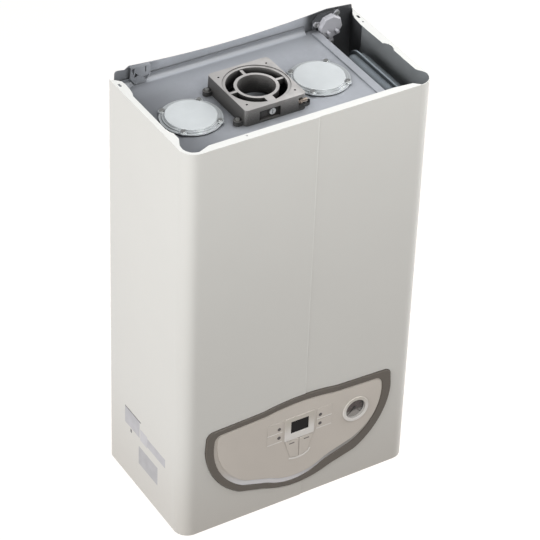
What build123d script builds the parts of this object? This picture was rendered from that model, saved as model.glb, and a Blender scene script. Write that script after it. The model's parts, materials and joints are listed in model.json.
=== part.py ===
from build123d import *
import math
import os

# Wall-hung, room-sealed combi boiler.
# Millimetres. +Z up, the front faces -Y, +X is the viewer's right. The origin is on the
# wall plane (y = 0) at the bottom centre of the rear frame.

# ---------------------------------------------------------------- driving dimensions
# casing
CASE_W = 440.0          # outside width
CASE_D = 240.0          # outside depth, wall plane to front
CASE_H = 762.0          # height of the casing sheet
CASE_T = 1.0            # casing sheet
CASE_CORNER_R = 25.0    # front vertical corners
CREASE_X = 8.0          # pressed line down the front
CREASE_H = 1.0          # its height
CREASE_RUN = 2.0        # width of its steep side
FOLD_BOTTOM = 16.0      # rim turned in at the bottom front
FOLD_BOTTOM_W = 350.0   # its width

# inner edge of the rim turned in at the top, with a finger notch on the right. At the rear
# each pair is the distance in from the casing side and from the wall, at the front the
# distance in from the side and from the front
RIM_LEFT_REAR = ((1.0, 2.5), (6.5, 6.0), (13.7, 14.0), (15.0, 22.0), (14.7, 38.0),
                 (12.4, 51.5), (9.6, 58.0))
RIM_LEFT_FRONT = ((9.5, 82.0), (11.5, 72.0), (14.7, 66.0), (14.7, 50.0), (10.3, 41.0), (7.0, 34.0))
RIM_RIGHT_REAR = ((1.0, 2.5), (9.0, 15.0), (12.8, 26.0), (15.0, 46.5), (15.3, 66.0), (14.4, 111.5),
                  (11.5, 113.0), (7.6, 118.0), (6.3, 125.0), (7.6, 132.5), (10.2, 137.5))
RIM_RIGHT_FRONT = ((10.6, 66.0), (10.4, 42.0), (8.6, 38.0), (5.0, 33.0))
RIM_FRONT_W = 14.0      # width of the front rim on the left
RIM_FRONT_END_W = 10.5  # its width at the right end
RIM_FRONT_LEFT = 45.0   # ends of the front rim, from the casing sides
RIM_FRONT_TAPER = 68.0
RIM_FRONT_RIGHT = 36.0
RIM_CORNER_W = (6.0, 0.5)   # rim round the left and the right corner
RIM_SLOT = (4.0, 8.0)
RIM_SLOT_LEFT = (6.1, 22.5)
RIM_SLOT_RIGHT = (5.8, 27.0)
RIM_HOLE_RIGHT = (7.5, 43.5)
RIM_HOLE_FRONT = (107.5, 9.0)
RIM_HOLE_R = 1.6

# control panel, seen from the front. Each outline has its lowest and highest point in the
# middle and six corners a side: the inset from the half width, and the height
PANEL_HALF_W = CASE_W / 2 - 41.0
PANEL_LOW_Z = 30.0
PANEL_TOP_Z = 220.5
PANEL_EDGE = ((117.0, 44.0), (67.0, 58.5), (25.5, 97.0), (0.0, 172.0), (3.0, 209.0), (109.0, 213.5))
BAND_LOW_Z = 42.5
BAND_TOP_Z = 207.5
BAND_LEFT = ((123.0, 55.0), (73.0, 71.0), (38.5, 102.0), (17.0, 178.0), (19.0, 197.5), (113.0, 201.5))
BAND_RIGHT = ((129.0, 61.0), (79.0, 77.0), (42.5, 106.0), (19.0, 178.0), (21.0, 196.5), (113.0, 201.0))
PANEL_CORNER_R = 14.0
PANEL_FLANK_R = 30.0
PANEL_BLEND_R = 70.0
PANEL_GAP = 0.8         # bezel to casing cut-out
BEZEL_PROUD = 2.6       # bezel crest in front of the casing
BEZEL_BEHIND = 4.0      # bezel behind the casing front
FASCIA_T = 2.5          # back flange of the fascia
FASCIA_PROUD = 1.2      # fascia face in front of the casing
LIP_SHIFT = (4.0, 7.0)  # raised field moved right and up, which bares the lower lip
FIELD_PROUD = 1.0       # raised field on the fascia

# display, buttons and keys
LCD_W = 34.0
LCD_H = 25.0
LCD_Z = 158.5
LCD_T = 2.0
FRAME_HALF_W = 28.5     # display frame
FRAME_LOW_Z = 132.0
FRAME_TOP_Z = 180.0
FRAME_PROUD = 0.8
KEY_TOP_Z = 130.5       # wing keys
KEY_LOW_Z = 92.0
KEY_TOP_X = 27.5
KEY_LOW_X = 17.0
KEY_SPLIT = 1.0         # gap between the two keys
KEY_L = 7.0
KEY_GAP = 0.3
BUTTON_R = 3.0
BUTTON_X = 39.5
BUTTON_ROWS = (164.5, 146.0)
BUTTON_L = 8.0
BUTTON_PROUD = 1.0

# pressure gauge
GAUGE_X = PANEL_HALF_W - 70.0
GAUGE_Z = 148.0
GAUGE_RING_R = 25.0
GAUGE_DIAL_R = 19.0
GAUGE_BODY_R = 21.5
GAUGE_BODY_L = 28.0
GAUGE_RING_PROUD = 3.0
GAUGE_RECESS = 5.0
DIAL_T = 0.8
LENS_T = 1.2
NEEDLE_L = 13.0
NEEDLE_T = 0.7
SPINDLE_R = 0.8
RUNNING_GAP = 0.05      # radial clearance of small shafts

# control box
BOX_HALF_W = PANEL_HALF_W - 29.0
BOX_LOW_Z = 52.0
BOX_TOP_Z = 198.0
BOX_D = 56.0
BOX_T = 2.0
BOARD_W = 2 * BOX_HALF_W - 90.0
BOARD_H = 105.0
BOARD_T = 1.6
BOARD_STAND = 14.0      # board in front of the box floor
BOARD_EDGE = 8.0        # board fixings in from its edges
# transformer and relays: place from the board's left edge and middle, then width, height, depth
BOARD_BLOCKS = ((25.0, 28.0, 34.0, 30.0, 24.0), (67.0, 34.0, 18.0, 15.0, 14.0),
                (89.0, 34.0, 18.0, 15.0, 14.0), (111.0, 34.0, 18.0, 15.0, 14.0))
CONNECTORS = 6
CONNECTOR = (22.0, 10.0, 9.0)
CAPACITORS = 3
CAPACITOR_R = 7.0
CAPACITOR_PITCH = 20.0
CAPACITOR_H = 16.0
CAPACITOR_IN = 25.0     # last capacitor from the right edge
PIVOT_R = 6.0
PIVOT_Z = 72.0

# rear frame
FRAME_T = 1.5
FRAME_GAP = 0.5         # rear frame to casing side
FRAME_SIDE_D = 32.0     # side folds
FRAME_FOLD_Z = CASE_H - 2.0
# top edge of the rear frame: distance in from the casing side, height over the casing
FRAME_TOP_LEFT = ((8.0, -5.0), (8.0, 7.0), (9.5, 10.5), (13.0, 11.5), (26.0, 9.5), (33.5, 14.5))
FRAME_TOP_RIGHT = ((50.0, 13.0), (28.0, 11.0), (3.0, 8.5))
FRAME_MID_RISE = 5.0    # dip in the middle
HOOK_X = CASE_W / 2 - 54.0      # half spacing of the hanging holes
HOOK_Z = CASE_H
HOOK_R = 5.0
SHELF_Z = 20.0          # underside of the pipe shelf
SHELF_T = 2.0
SHELF_D = 105.0
SHELF_HALF_W = CASE_W / 2 - 15.0
# plate in front of the left hanging hole, and its openings, from the same places
HOOK_COVER = ((33.5, 14.0), (67.0, 12.5), (67.0, -5.0), (60.0, -14.5), (38.0, -14.5), (31.0, -4.0))
HOOK_COVER_HOLES = (((34.5, 11.5), (40.0, 12.0), (37.0, 0.5)), ((40.5, 4.0), (46.0, -2.0), (38.0, -5.0)),
                    ((57.5, 1.5), (59.5, 1.5), (59.5, 11.5), (57.5, 11.5)),
                    ((53.5, -6.0), (65.0, -5.0), (59.5, -12.5)))
HOOK_LEDGE_W = 20.0
HOOK_COVER_Y = -9.0     # front of both plates over the hanging holes
# plate in front of the right hanging hole, which carries the pressure switch
SWITCH_PLATE = ((80.0, 1.0), (70.0, 12.5), (29.0, 12.0), (29.0, -42.0), (38.0, -51.0), (68.5, -51.0),
                (68.5, -12.5), (80.0, -12.5))

# panel arms
ARM_X = CASE_W / 2 - 35.0
ARM_T = 1.5
ARM_H = 38.0
ARM_FRONT = 6.0         # arm end behind the casing front
ARM_HEAD_L = 60.0       # raised end that carries the pivot
ARM_SLOPE_L = 30.0
ARM_TAB_W = 14.0
FOOT_W = 20.0
PIVOT_BACK = 22.0       # pivots behind the fascia

# sealed chamber
WELL_DEPTH = 18.0       # casing rim to chamber top
CHAMBER_SIDE_GAP = 4.0  # chamber to the left side of the casing
VESSEL_BAY = 70.0       # free width on the right for the vessel
CHAMBER_H = 414.0
CHAMBER_BACK_GAP = 1.5  # chamber to rear frame sheet
CHAMBER_FRONT_GAP = 18.0
CHAMBER_T = 1.0
CHAMBER_LIP = 12.0      # folds that the cover screws to
UPSTAND_H = 11.0        # rear edge of the chamber top, bent up against the frame
UPSTAND_R = 9.0
UPSTAND_END = 22.0      # its end before the right edge of the chamber
STRIP_W = 14.0          # folded strip along the top right edge
STRIP_H = 2.5
STRIP_BACK = 10.0       # its end before the rear edge
COVER_T = 1.2
COVER_EDGE = 30.0       # flat edge round the cover's pressed field
COVER_FIELD_H = 3.0
COVER_WALL = 2.0

# flue adaptor
FLUE_Y = -130.0
ADAPTOR_W = 110.0
ADAPTOR_L = 118.0
ADAPTOR_H = 26.0
ADAPTOR_CORNER_R = 8.0
ADAPTOR_DRAFT = 2.0     # degrees
ADAPTOR_GROOVE_R = 53.0
AIR_SLOT_R = 48.0
FLUE_TUBE_R = 35.0
FLUE_BORE_R = 30.0
FLUE_TUBE_DROP = 6.0    # flue tube below the chamber top
FLUE_TUBE_SET = 3.0     # flue tube and ribs below the top of the adaptor
GROOVE_D = 1.5
RIB_W = 5.0
WIDE_RIB_W = 14.0
RIB_H = 9.0
POCKET = (37.0, 16.0)   # recess in the front of the adaptor
POCKET_X = -10.5
POCKET_Z = 10.0
POCKET_D = 5.0
FLANGE_SCREW_PITCH = 85.0
FLANGE_SCREW_R = 1.8
LUG_X = ADAPTOR_W / 2 + 5.0
LUG_Y = ADAPTOR_L / 2 - 13.0
LUG_R = 7.0
LUG_T = 6.0
SCOOP_R = 15.0
SCOOP_ROOF = 5.0
NIPPLE_R = 3.0
NIPPLE_IN = 6.0         # nipple behind the front of the adaptor
NIPPLE_Z = 11.0
NIPPLE_ROOT = 4.0       # its thread in the casting
NIPPLE_L = 16.0
NIPPLE_HEX_R = 4.6
NIPPLE_HEX_H = 4.0
PLUG_R = 4.0
PLUG_X = -4.5
PLUG_HEAD_H = 2.0
PLUG_L = 4.5
GASKET_T = 2.0

# blanking caps
TOP_SPACES = (17.0, 10.0, 10.0, 9.0)    # free widths beside the caps and the adaptor, left to right
CAP_Y = -129.5
CAP_BASE_R = 49.0       # lower tier of the flange
CAP_BASE_T = 1.5
CAP_RING_R = 44.5       # upper tier
CAP_RING_T = 2.0
CAP_DISC_R = 40.5
CAP_DISC_T = 3.0
CAP_COLLAR = 1.0        # raised edge round the disc
CAP_LUG_PCR = 45.5
CAP_LUG_R = 6.0
CAP_HOLE_R = 36.0

# machine screws
SCREW_R = 1.9
SCREW_GAP = 0.1
SCREW_HEAD_R = 3.6
SCREW_HEAD_H = 2.4
SCREW_L = 9.0

# fan, hood and exchanger hang from the flue; the burner stands on the chamber floor
DUCT_RISE = 64.4        # end of the fan duct over the wheel centre
DUCT_GAP = 6.0          # end of the fan duct below the flue tube
FAN_W = 45.0
FAN_T = 1.0
SCROLL_R0 = 52.0        # scroll radius at the top of the wheel
SCROLL_R1 = 76.0        # scroll radius at the outlet
DUCT_W = 50.0
WHEEL_R = 44.0
WHEEL_IN_R = 34.0
WHEEL_W = 34.0
WHEEL_T = 1.0
BLADES = 20
BLADE_T = 0.8
SHAFT_R = 4.0
SEAT_GAP = 0.6          # scroll over the hood
MOTOR_R = 32.0
MOTOR_L = 42.0
SPIGOT_R = 28.0
EYE_R = 30.0
HOOD_H = 42.0
HOOD_DUCT_D = 46.0
HOOD_DUCT_W = 96.0
EXCHANGER_H = 58.0
EXCHANGER_FINS = 20
EXCHANGER_TUBES = 5
FIN_T = 1.6
HEADER_W = 14.0
HEADER_H = 28.0
FIRE_SIDE = 65.0        # mean distance from the fire to the chamber sides
FIRE_FRONT_BACK = 49.0  # free depth in front of and behind the fire
FIRE_BACK = 18.0
FIRE_T = 1.0
LINING_T = 14.0
BURNER_LIFT = 20.0
BURNER_H = 48.0
BURNER_BLADES = 11
BURNER_BLADE_W = 11.0
BURNER_WALL = 1.2
BURNER_END = 12.0       # burner in from the fire's front and back
NOZZLE_R = 3.0
NOZZLE_LIFT = 0.3       # height of the nozzles as a share of the burner's
ELECTRODE_R = 3.5
ELECTRODE_RISE = 14.0
ELECTRODES = ((-40.0, 40.0), (45.0, 30.0))  # place across the burner, reach
PROBE_R = 1.2
RAIL_D = 14.0
RAIL_H = 16.0
RAIL_END = 6.0
GAS_PIPE_R = 6.0

# water and gas connections, left to right
TAIL_Y = -70.0
TAIL_DROP = 22.0        # tails below the casing
FLOW_X = -140.0
HOT_X = -70.0
GAS_X = 0.0
COLD_X = 70.0
RETURN_X = 140.0
TAIL_BIG_R = 13.2
TAIL_SMALL_R = 10.5
TAIL_BORE = 0.72        # bore as a share of the tail radius
COLLAR_H = 10.0         # hexagon above the shelf
LOCK_H = 4.0            # collar below the shelf
PIPE_R = 9.0
PIPE_WALL = 1.0
PIPE_BEND = 12.0
RISER_RUN = 14.0        # shortest run before a riser turns up

# plate heat exchanger
PLATE_W = 184.0
PLATE_H = 76.0
PLATE_D = 40.0
PLATE_LOW_Z = 90.0
PLATE_BACK = 12.0
PLATE_PORT_IN = 16.0    # ports from the upper and lower edges
PLATES = 10

# pump and three-way valve
PUMP_Z = 150.0
VOLUTE_R = 46.0
VOLUTE_W = 45.0
PUMP_CAVITY_R = 37.0
PUMP_WHEEL_R = 34.0
PUMP_WHEEL_W = 14.0
PUMP_SHAFT_R = 5.0
PUMP_MOTOR_R = 43.0
PUMP_MOTOR_L = 60.0
PUMP_FLANGE_T = 8.0
TERMINAL_BOX = (48.0, 40.0, 16.0)   # width, depth, height over the pump motor
TAP_IN = 16.0           # branch to the vessel from the volute's right side
VALVE_R = 20.0
VALVE_INLET_L = 8.0
STEM_R = 3.0
STEM_DISC_R = 8.0
STEM_TRAVEL = 6.0
ACTUATOR_H = 56.0
ACTUATOR_D = 40.0
SAFETY_X = CASE_W / 2 - 23.0
SAFETY_R = 11.0
SAFETY_H = 18.0         # safety valve over its inlet
SAFETY_FOOT = 8.0       # and below it
KNOB_R = 13.0
KNOB_H = 15.0
FILL_X = 105.0
FILL_Z = 46.0
FILL_R = 10.0
FILL_STEM_R = 4.0
GAS_VALVE_W = 80.0
GAS_VALVE_D = 76.0
GAS_VALVE_H = 66.0
GAS_VALVE_LOW_Z = 180.0
COIL_L = 26.0
COIL_R = 17.0
MODULATOR_L = 20.0
MODULATOR_R = 20.0

# expansion vessel and air pressure switch
VESSEL_X = CASE_W / 2 - 38.0
VESSEL_W = 50.0
VESSEL_LOW_Z = 270.0
VESSEL_TOP_Z = CASE_H - 32.0
VESSEL_BACK = 60.0
VESSEL_FRONT_GAP = 14.0
VESSEL_FILLET = 22.0
VESSEL_WALL = 2.0
SEAM_W = 4.0
SEAM_OUT = 6.0
VESSEL_PORT_L = 14.0
VESSEL_PIPE_R = 5.0
VESSEL_PIPE_DROP = 34.0
BRACKET_H = 40.0
BRACKET_W = 24.0
BRACKET_T = 2.0
SWITCH_X = CASE_W / 2 - 50.5
SWITCH_Z = CASE_H - 11.0
SWITCH_R = 21.0
SWITCH_TURN = -8.0      # degrees
SWITCH_D = 11.0
SPIGOT_L = 8.0
SWITCH_LUG_T = 2.0
SWITCH_LUGS = ((-24.0, 6.5), (15.0, 18.5), (6.5, -34.5))    # from the switch centre
SWITCH_LUG_R = 4.5

# ---------------------------------------------------------------- derived places
FRONT_Y = -CASE_D
CASE_IN_X = CASE_W / 2 - CASE_T
CHAMBER_LEFT = -(CASE_W / 2 - CHAMBER_SIDE_GAP)
CHAMBER_RIGHT = CASE_W / 2 - VESSEL_BAY
CHAMBER_TOP_Z = CASE_H - WELL_DEPTH
CHAMBER_LOW_Z = CHAMBER_TOP_Z - CHAMBER_H
CHAMBER_BACK_Y = -(FRAME_T + CHAMBER_BACK_GAP)
CHAMBER_FRONT_Y = FRONT_Y + CHAMBER_FRONT_GAP
CHAMBER_D = CHAMBER_BACK_Y - CHAMBER_FRONT_Y
CHAMBER_MID_X = (CHAMBER_LEFT + CHAMBER_RIGHT) / 2
CHAMBER_W = CHAMBER_RIGHT - CHAMBER_LEFT
SPARE_W = CHAMBER_W - STRIP_W - 4 * CAP_BASE_R - ADAPTOR_W
SPACES = [SPARE_W * space / sum(TOP_SPACES) for space in TOP_SPACES]
CAP_LEFT_X = CHAMBER_LEFT + SPACES[0] + CAP_BASE_R
CAP_RIGHT_X = CHAMBER_RIGHT - STRIP_W - SPACES[3] - CAP_BASE_R
FLUE_X = CAP_LEFT_X + CAP_BASE_R + SPACES[1] + ADAPTOR_W / 2
ADAPTOR_LOW_Z = CHAMBER_TOP_Z + GASKET_T
CAP_LOW_Z = CHAMBER_TOP_Z + GASKET_T
CAP_SEAT_Z = CAP_LOW_Z + CAP_BASE_T + CAP_RING_T
SPIGOT_TOP_Z = CHAMBER_TOP_Z - FLUE_TUBE_DROP
FAN_X = FLUE_X - (SCROLL_R1 - DUCT_W / 2)
FAN_Z = SPIGOT_TOP_Z - DUCT_GAP - DUCT_RISE
FAN_FRONT_Y = FLUE_Y - FAN_W / 2
FAN_BACK_Y = FLUE_Y + FAN_W / 2
SCROLL_LOW_R = SCROLL_R0 + (SCROLL_R1 - SCROLL_R0) * 2 / 3
HOOD_TOP_Z = FAN_Z - SCROLL_LOW_R - SEAT_GAP
HOOD_LOW_Z = HOOD_TOP_Z - HOOD_H
EXCHANGER_LOW_Z = HOOD_LOW_Z - EXCHANGER_H
BURNER_LOW_Z = CHAMBER_LOW_Z + CHAMBER_T + BURNER_LIFT
FIRE_LOW_Z = BURNER_LOW_Z + BURNER_H
FIRE_H = EXCHANGER_LOW_Z - FIRE_LOW_Z
FIRE_W = CHAMBER_W - 2 * FIRE_SIDE
FIRE_D = CHAMBER_D - FIRE_FRONT_BACK
FIRE_Y = CHAMBER_BACK_Y - FIRE_BACK - FIRE_D / 2
BURNER_L = FIRE_D - 2 * BURNER_END
NOZZLE_Z = BURNER_LOW_Z + BURNER_H * NOZZLE_LIFT
PUMP_BACK_Y = TAIL_Y + VOLUTE_W / 2
PUMP_FRONT_Y = TAIL_Y - VOLUTE_W / 2
GAUGE_FRONT_Y = FRONT_Y - GAUGE_RING_PROUD
DIAL_Y = GAUGE_FRONT_Y + GAUGE_RECESS
FASCIA_BACK_Y = FRONT_Y + BEZEL_BEHIND + FASCIA_T
FIELD_Y = FRONT_Y - FASCIA_PROUD - FIELD_PROUD
BOX_BACK_Y = FASCIA_BACK_Y + BOX_D
SHELF_TOP_Z = SHELF_Z + SHELF_T
SAFETY_Z = PUMP_Z - VOLUTE_R - KNOB_H - SAFETY_H - 1.0
VESSEL_D = CASE_D - VESSEL_BACK - VESSEL_FRONT_GAP
VESSEL_H = VESSEL_TOP_Z - VESSEL_LOW_Z
VALVE_TOP_Z = PLATE_LOW_Z + PLATE_H - PLATE_PORT_IN + PIPE_R + 8.0

LOW = (Align.CENTER, Align.CENTER, Align.MIN)


# ---------------------------------------------------------------- helpers
def block(x0, x1, y0, y1, z0, z1):
    """Box between two corners."""
    return Pos(x0, y0, z0) * Box(x1 - x0, y1 - y0, z1 - z0, align=Align.MIN)


def post(x, y, z0, z1, r):
    """Upright cylinder."""
    return Pos(x, y, z0) * Cylinder(r, z1 - z0, align=LOW)


def bar_y(x, z, y0, y1, r):
    """Cylinder along Y, from y0 back to y1."""
    return extrude(Plane.XZ.offset(-y1) * Pos(x, z) * Circle(r), y1 - y0)


def bar_x(y, z, x0, x1, r):
    """Cylinder along X."""
    return extrude(Plane.YZ.offset(x0) * Pos(y, z) * Circle(r), x1 - x0)


def front(sketch, y_back, depth):
    """Solid from an (x, z) sketch, its back on y_back, growing towards the front."""
    return extrude(Plane.XZ.offset(-y_back) * sketch, depth)


def side(points, x0, x1):
    """Plate from a (y, z) outline between two x places."""
    return extrude(Plane.YZ.offset(x0) * make_face(Polyline(*points, close=True)), x1 - x0)


def bent_pipe(points, r, wall, bend):
    """Pipe along straight runs joined by arcs."""
    path = FilletPolyline(*points, radius=bend)
    section = Circle(r) - Circle(r - wall)
    return sweep(Plane(origin=path @ 0, z_dir=path % 0) * section, path)


def four(pitch_x, pitch_y):
    """Corners of a rectangle of holes."""
    return [(i * pitch_x / 2, j * pitch_y / 2) for i in (-1, 1) for j in (-1, 1)]


# ---------------------------------------------------------------- casing
def casing_outline(inset):
    """Plan of the casing, its back open on the wall plane, moved inwards by inset."""
    half = CASE_W / 2 - inset
    y = FRONT_Y + inset
    r = CASE_CORNER_R - inset
    k = r * (1 - math.sqrt(0.5))
    return make_face([
        Line((-half, 0), (-half, y + r)),
        ThreePointArc((-half, y + r), (-half + k, y + k), (-half + r, y)),
        Line((-half + r, y), (CREASE_X, y - CREASE_H)),
        Line((CREASE_X, y - CREASE_H), (CREASE_X + CREASE_RUN, y)),
        Line((CREASE_X + CREASE_RUN, y), (half - r, y)),
        ThreePointArc((half - r, y), (half - k, y + k), (half, y + r)),
        Line((half, y + r), (half, 0)),
        Line((half, 0), (-half, 0)),
    ])


def panel_outline(left, right, low_z, top_z):
    """Front view of the panel or of its middle: bowed flanks, raised crown, softened corners."""
    halves = [[(sign * (PANEL_HALF_W - inset), z) for inset, z in points]
              for sign, points in ((-1, left), (1, right))]
    edges = []
    for knee, flank, bow, wide, shoulder, crown in halves:
        edges += [Line(knee, flank), ThreePointArc(flank, bow, wide), Line(wide, shoulder),
                  Line(shoulder, crown)]
    edges.append(ThreePointArc(halves[0][0], (0, low_z), halves[1][0]))
    edges.append(ThreePointArc(halves[0][5], (0, top_z), halves[1][5]))
    face = make_face(edges)
    for corner, radius in ((0, PANEL_BLEND_R), (1, PANEL_FLANK_R), (3, PANEL_BLEND_R),
                           (4, PANEL_CORNER_R), (5, PANEL_BLEND_R)):
        spots = [Vector(*half[corner]) for half in halves]
        face = fillet(face.vertices().filter_by(
            lambda v: min((Vector(v.X, v.Y) - spot).length for spot in spots) < 0.1), radius)
    return face


def panel_face():
    """Outer outline of the panel, which is also the casing's cut-out."""
    return panel_outline(PANEL_EDGE, PANEL_EDGE, PANEL_LOW_Z, PANEL_TOP_Z)


def band_face():
    """Inner edge of the bezel's band, wider on the lower right."""
    return panel_outline(BAND_LEFT, BAND_RIGHT, BAND_LOW_Z, BAND_TOP_Z)


def rim_opening():
    """Plan of the casing's open top, inside the rim that is turned in round it."""
    half = CASE_W / 2
    left = [(-CASE_IN_X, 1), *[(x - half, -y) for x, y in RIM_LEFT_REAR],
            *[(x - half, FRONT_Y + y) for x, y in RIM_LEFT_FRONT]]
    right = [(CASE_IN_X, 1), *[(half - x, -y) for x, y in RIM_RIGHT_REAR],
             *[(half - x, FRONT_Y + y) for x, y in RIM_RIGHT_FRONT]]
    corners = []
    for sign, inset in zip((-1, 1), RIM_CORNER_W):
        x, y = sign * (half - CASE_CORNER_R), FRONT_Y + CASE_CORNER_R
        r = CASE_CORNER_R - inset
        k = r * math.sqrt(0.5)
        corners.append(ThreePointArc((x + sign * r, y), (x + sign * k, y - k), (x, y - r)))
    front_edge = [(RIM_FRONT_LEFT - half, FRONT_Y + RIM_FRONT_W),
                  (half - RIM_FRONT_TAPER, FRONT_Y + RIM_FRONT_W),
                  (half - RIM_FRONT_RIGHT, FRONT_Y + RIM_FRONT_END_W)]
    left_line = Polyline(*left, corners[0] @ 0)
    front_line = Polyline(corners[0] @ 1, *front_edge, corners[1] @ 1)
    right_line = Polyline(corners[1] @ 0, *reversed(right))
    return make_face([*left_line.edges(), *corners, *front_line.edges(), *right_line.edges(),
                      Line(right[0], left[0])])


def casing_shell():
    """One folded sheet: sides, front, rims at top and bottom, panel cut-out."""
    outer = casing_outline(0)
    shell = extrude(outer - casing_outline(CASE_T), CASE_H)
    rim = outer - rim_opening()
    half = CASE_W / 2
    rim -= Pos(RIM_SLOT_LEFT[0] - half, -RIM_SLOT_LEFT[1]) * Rectangle(*RIM_SLOT)
    rim -= Pos(half - RIM_SLOT_RIGHT[0], -RIM_SLOT_RIGHT[1]) * Rectangle(*RIM_SLOT)
    rim -= Pos(half - RIM_HOLE_RIGHT[0], -RIM_HOLE_RIGHT[1]) * Circle(RIM_HOLE_R)
    rim -= Pos(RIM_HOLE_FRONT[0] - half, FRONT_Y + RIM_HOLE_FRONT[1]) * Circle(RIM_HOLE_R)
    shell += Pos(0, 0, CASE_H - CASE_T) * extrude(rim, CASE_T)
    low_rim = Pos(0, FRONT_Y + FOLD_BOTTOM / 2) * Rectangle(FOLD_BOTTOM_W, FOLD_BOTTOM + 2 * CREASE_H)
    for x in (-ARM_X, ARM_X):
        low_rim += Pos(x, FRONT_Y + FOLD_BOTTOM / 2) * Rectangle(FOOT_W, FOLD_BOTTOM)
        low_rim -= Pos(x, foot_screw_y()) * Circle(SCREW_R + SCREW_GAP)
    shell += extrude(low_rim & outer, CASE_T)
    return shell - front(panel_face(), FRONT_Y + 2 * CASE_T, 2 * CASE_T + 2 * CREASE_H)


def foot_screw_y():
    """Depth of the screws through the bottom rim."""
    return FRONT_Y + FOLD_BOTTOM * 0.6


def casing_screws():
    """Two screws that hold the casing to the feet of the panel arms."""
    y = foot_screw_y()
    return [post(x, y, 0, SCREW_L, SCREW_R) + post(x, y, -SCREW_HEAD_H, 0, SCREW_HEAD_R)
            for x in (-ARM_X, ARM_X)]


# ---------------------------------------------------------------- rear frame and arms
def frame_outline():
    """Front view of the rear frame, with its raised ends and dipped middle."""
    half = CASE_IN_X - FRAME_GAP
    left = [(x - CASE_W / 2, CASE_H + z) for x, z in FRAME_TOP_LEFT]
    right = [(CASE_W / 2 - x, CASE_H + z) for x, z in FRAME_TOP_RIGHT]
    top = ThreePointArc(left[-1], (0, CASE_H + FRAME_MID_RISE), right[0])
    left_line = Polyline((-half, 0), (-half, left[0][1]), *left)
    right_line = Polyline(*right, (half, CASE_H), (half, 0))
    return make_face([*left_line.edges(), top, *right_line.edges(), Line((half, 0), (-half, 0))])


def rear_frame():
    """Back sheet with side folds, pipe shelf, hanging holes and the plates in front of them."""
    half = CASE_IN_X - FRAME_GAP
    frame = front(frame_outline(), 0, FRAME_T)
    for x0 in (-half, half - FRAME_T):
        frame += block(x0, x0 + FRAME_T, -FRAME_SIDE_D, -FRAME_T, 0, FRAME_FOLD_Z)
    frame += block(-SHELF_HALF_W, SHELF_HALF_W, -SHELF_D, -FRAME_T, SHELF_Z, SHELF_TOP_Z)
    for x, r in ((FLOW_X, TAIL_BIG_R), (HOT_X, TAIL_SMALL_R), (GAS_X, TAIL_BIG_R),
                 (COLD_X, TAIL_SMALL_R), (RETURN_X, TAIL_BIG_R), (FILL_X, FILL_STEM_R + 2)):
        frame -= post(x, TAIL_Y, SHELF_Z - 1, SHELF_TOP_Z + 1, r + KEY_GAP)
    for x in (-HOOK_X, HOOK_X):
        frame -= bar_y(x, HOOK_Z, -2 * FRAME_T, FRAME_T, HOOK_R)
    return frame + hook_cover() + switch_plate()


def hook_cover():
    """Pierced plate on a fold in front of the left hanging hole."""
    def outline(points):
        return make_face(Polyline(*[(x - CASE_W / 2, CASE_H + z) for x, z in points], close=True))

    back = HOOK_COVER_Y + FRAME_T
    cover = front(outline(HOOK_COVER), back, FRAME_T)
    for hole in HOOK_COVER_HOLES:
        cover -= front(outline(hole), back + FRAME_T, 3 * FRAME_T)
    (x0, z0), (x1, z1) = HOOK_COVER[0], HOOK_COVER[1]
    fold = outline([(x0, z0), (x1, z1), (x1, z1 - FRAME_T), (x0, z0 - FRAME_T)])
    cover += front(fold, -FRAME_T, -FRAME_T - back)
    x, z = HOOK_COVER[4]
    ledge = outline([(x, z), (x, z - FRAME_T), (x + HOOK_LEDGE_W, z - FRAME_T), (x + HOOK_LEDGE_W, z)])
    return cover + front(ledge, back, 2 * FRAME_T)


def switch_plate():
    """Plate on two folds in front of the right hanging hole, bored for the pressure switch."""
    points = [(CASE_W / 2 - x, CASE_H + z) for x, z in SWITCH_PLATE]
    back = HOOK_COVER_Y + FRAME_T
    plate = front(make_face(Polyline(*points, close=True)), back, FRAME_T)
    x1, z1 = points[2]
    x0, z0 = points[5]
    plate += block(x1 - FRAME_T, x1, back, -FRAME_T, points[3][1], z1)
    plate += block(x0, points[4][0], back, -FRAME_T, z0, z0 + FRAME_T)
    for x, z in switch_lugs():
        plate -= bar_y(x, z, HOOK_COVER_Y - FRAME_T, back + FRAME_T, SCREW_R + SCREW_GAP)
    return plate


def switch_lugs():
    """Places of the three screws of the pressure switch."""
    return [(SWITCH_X + x, SWITCH_Z + z) for x, z in SWITCH_LUGS]


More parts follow.
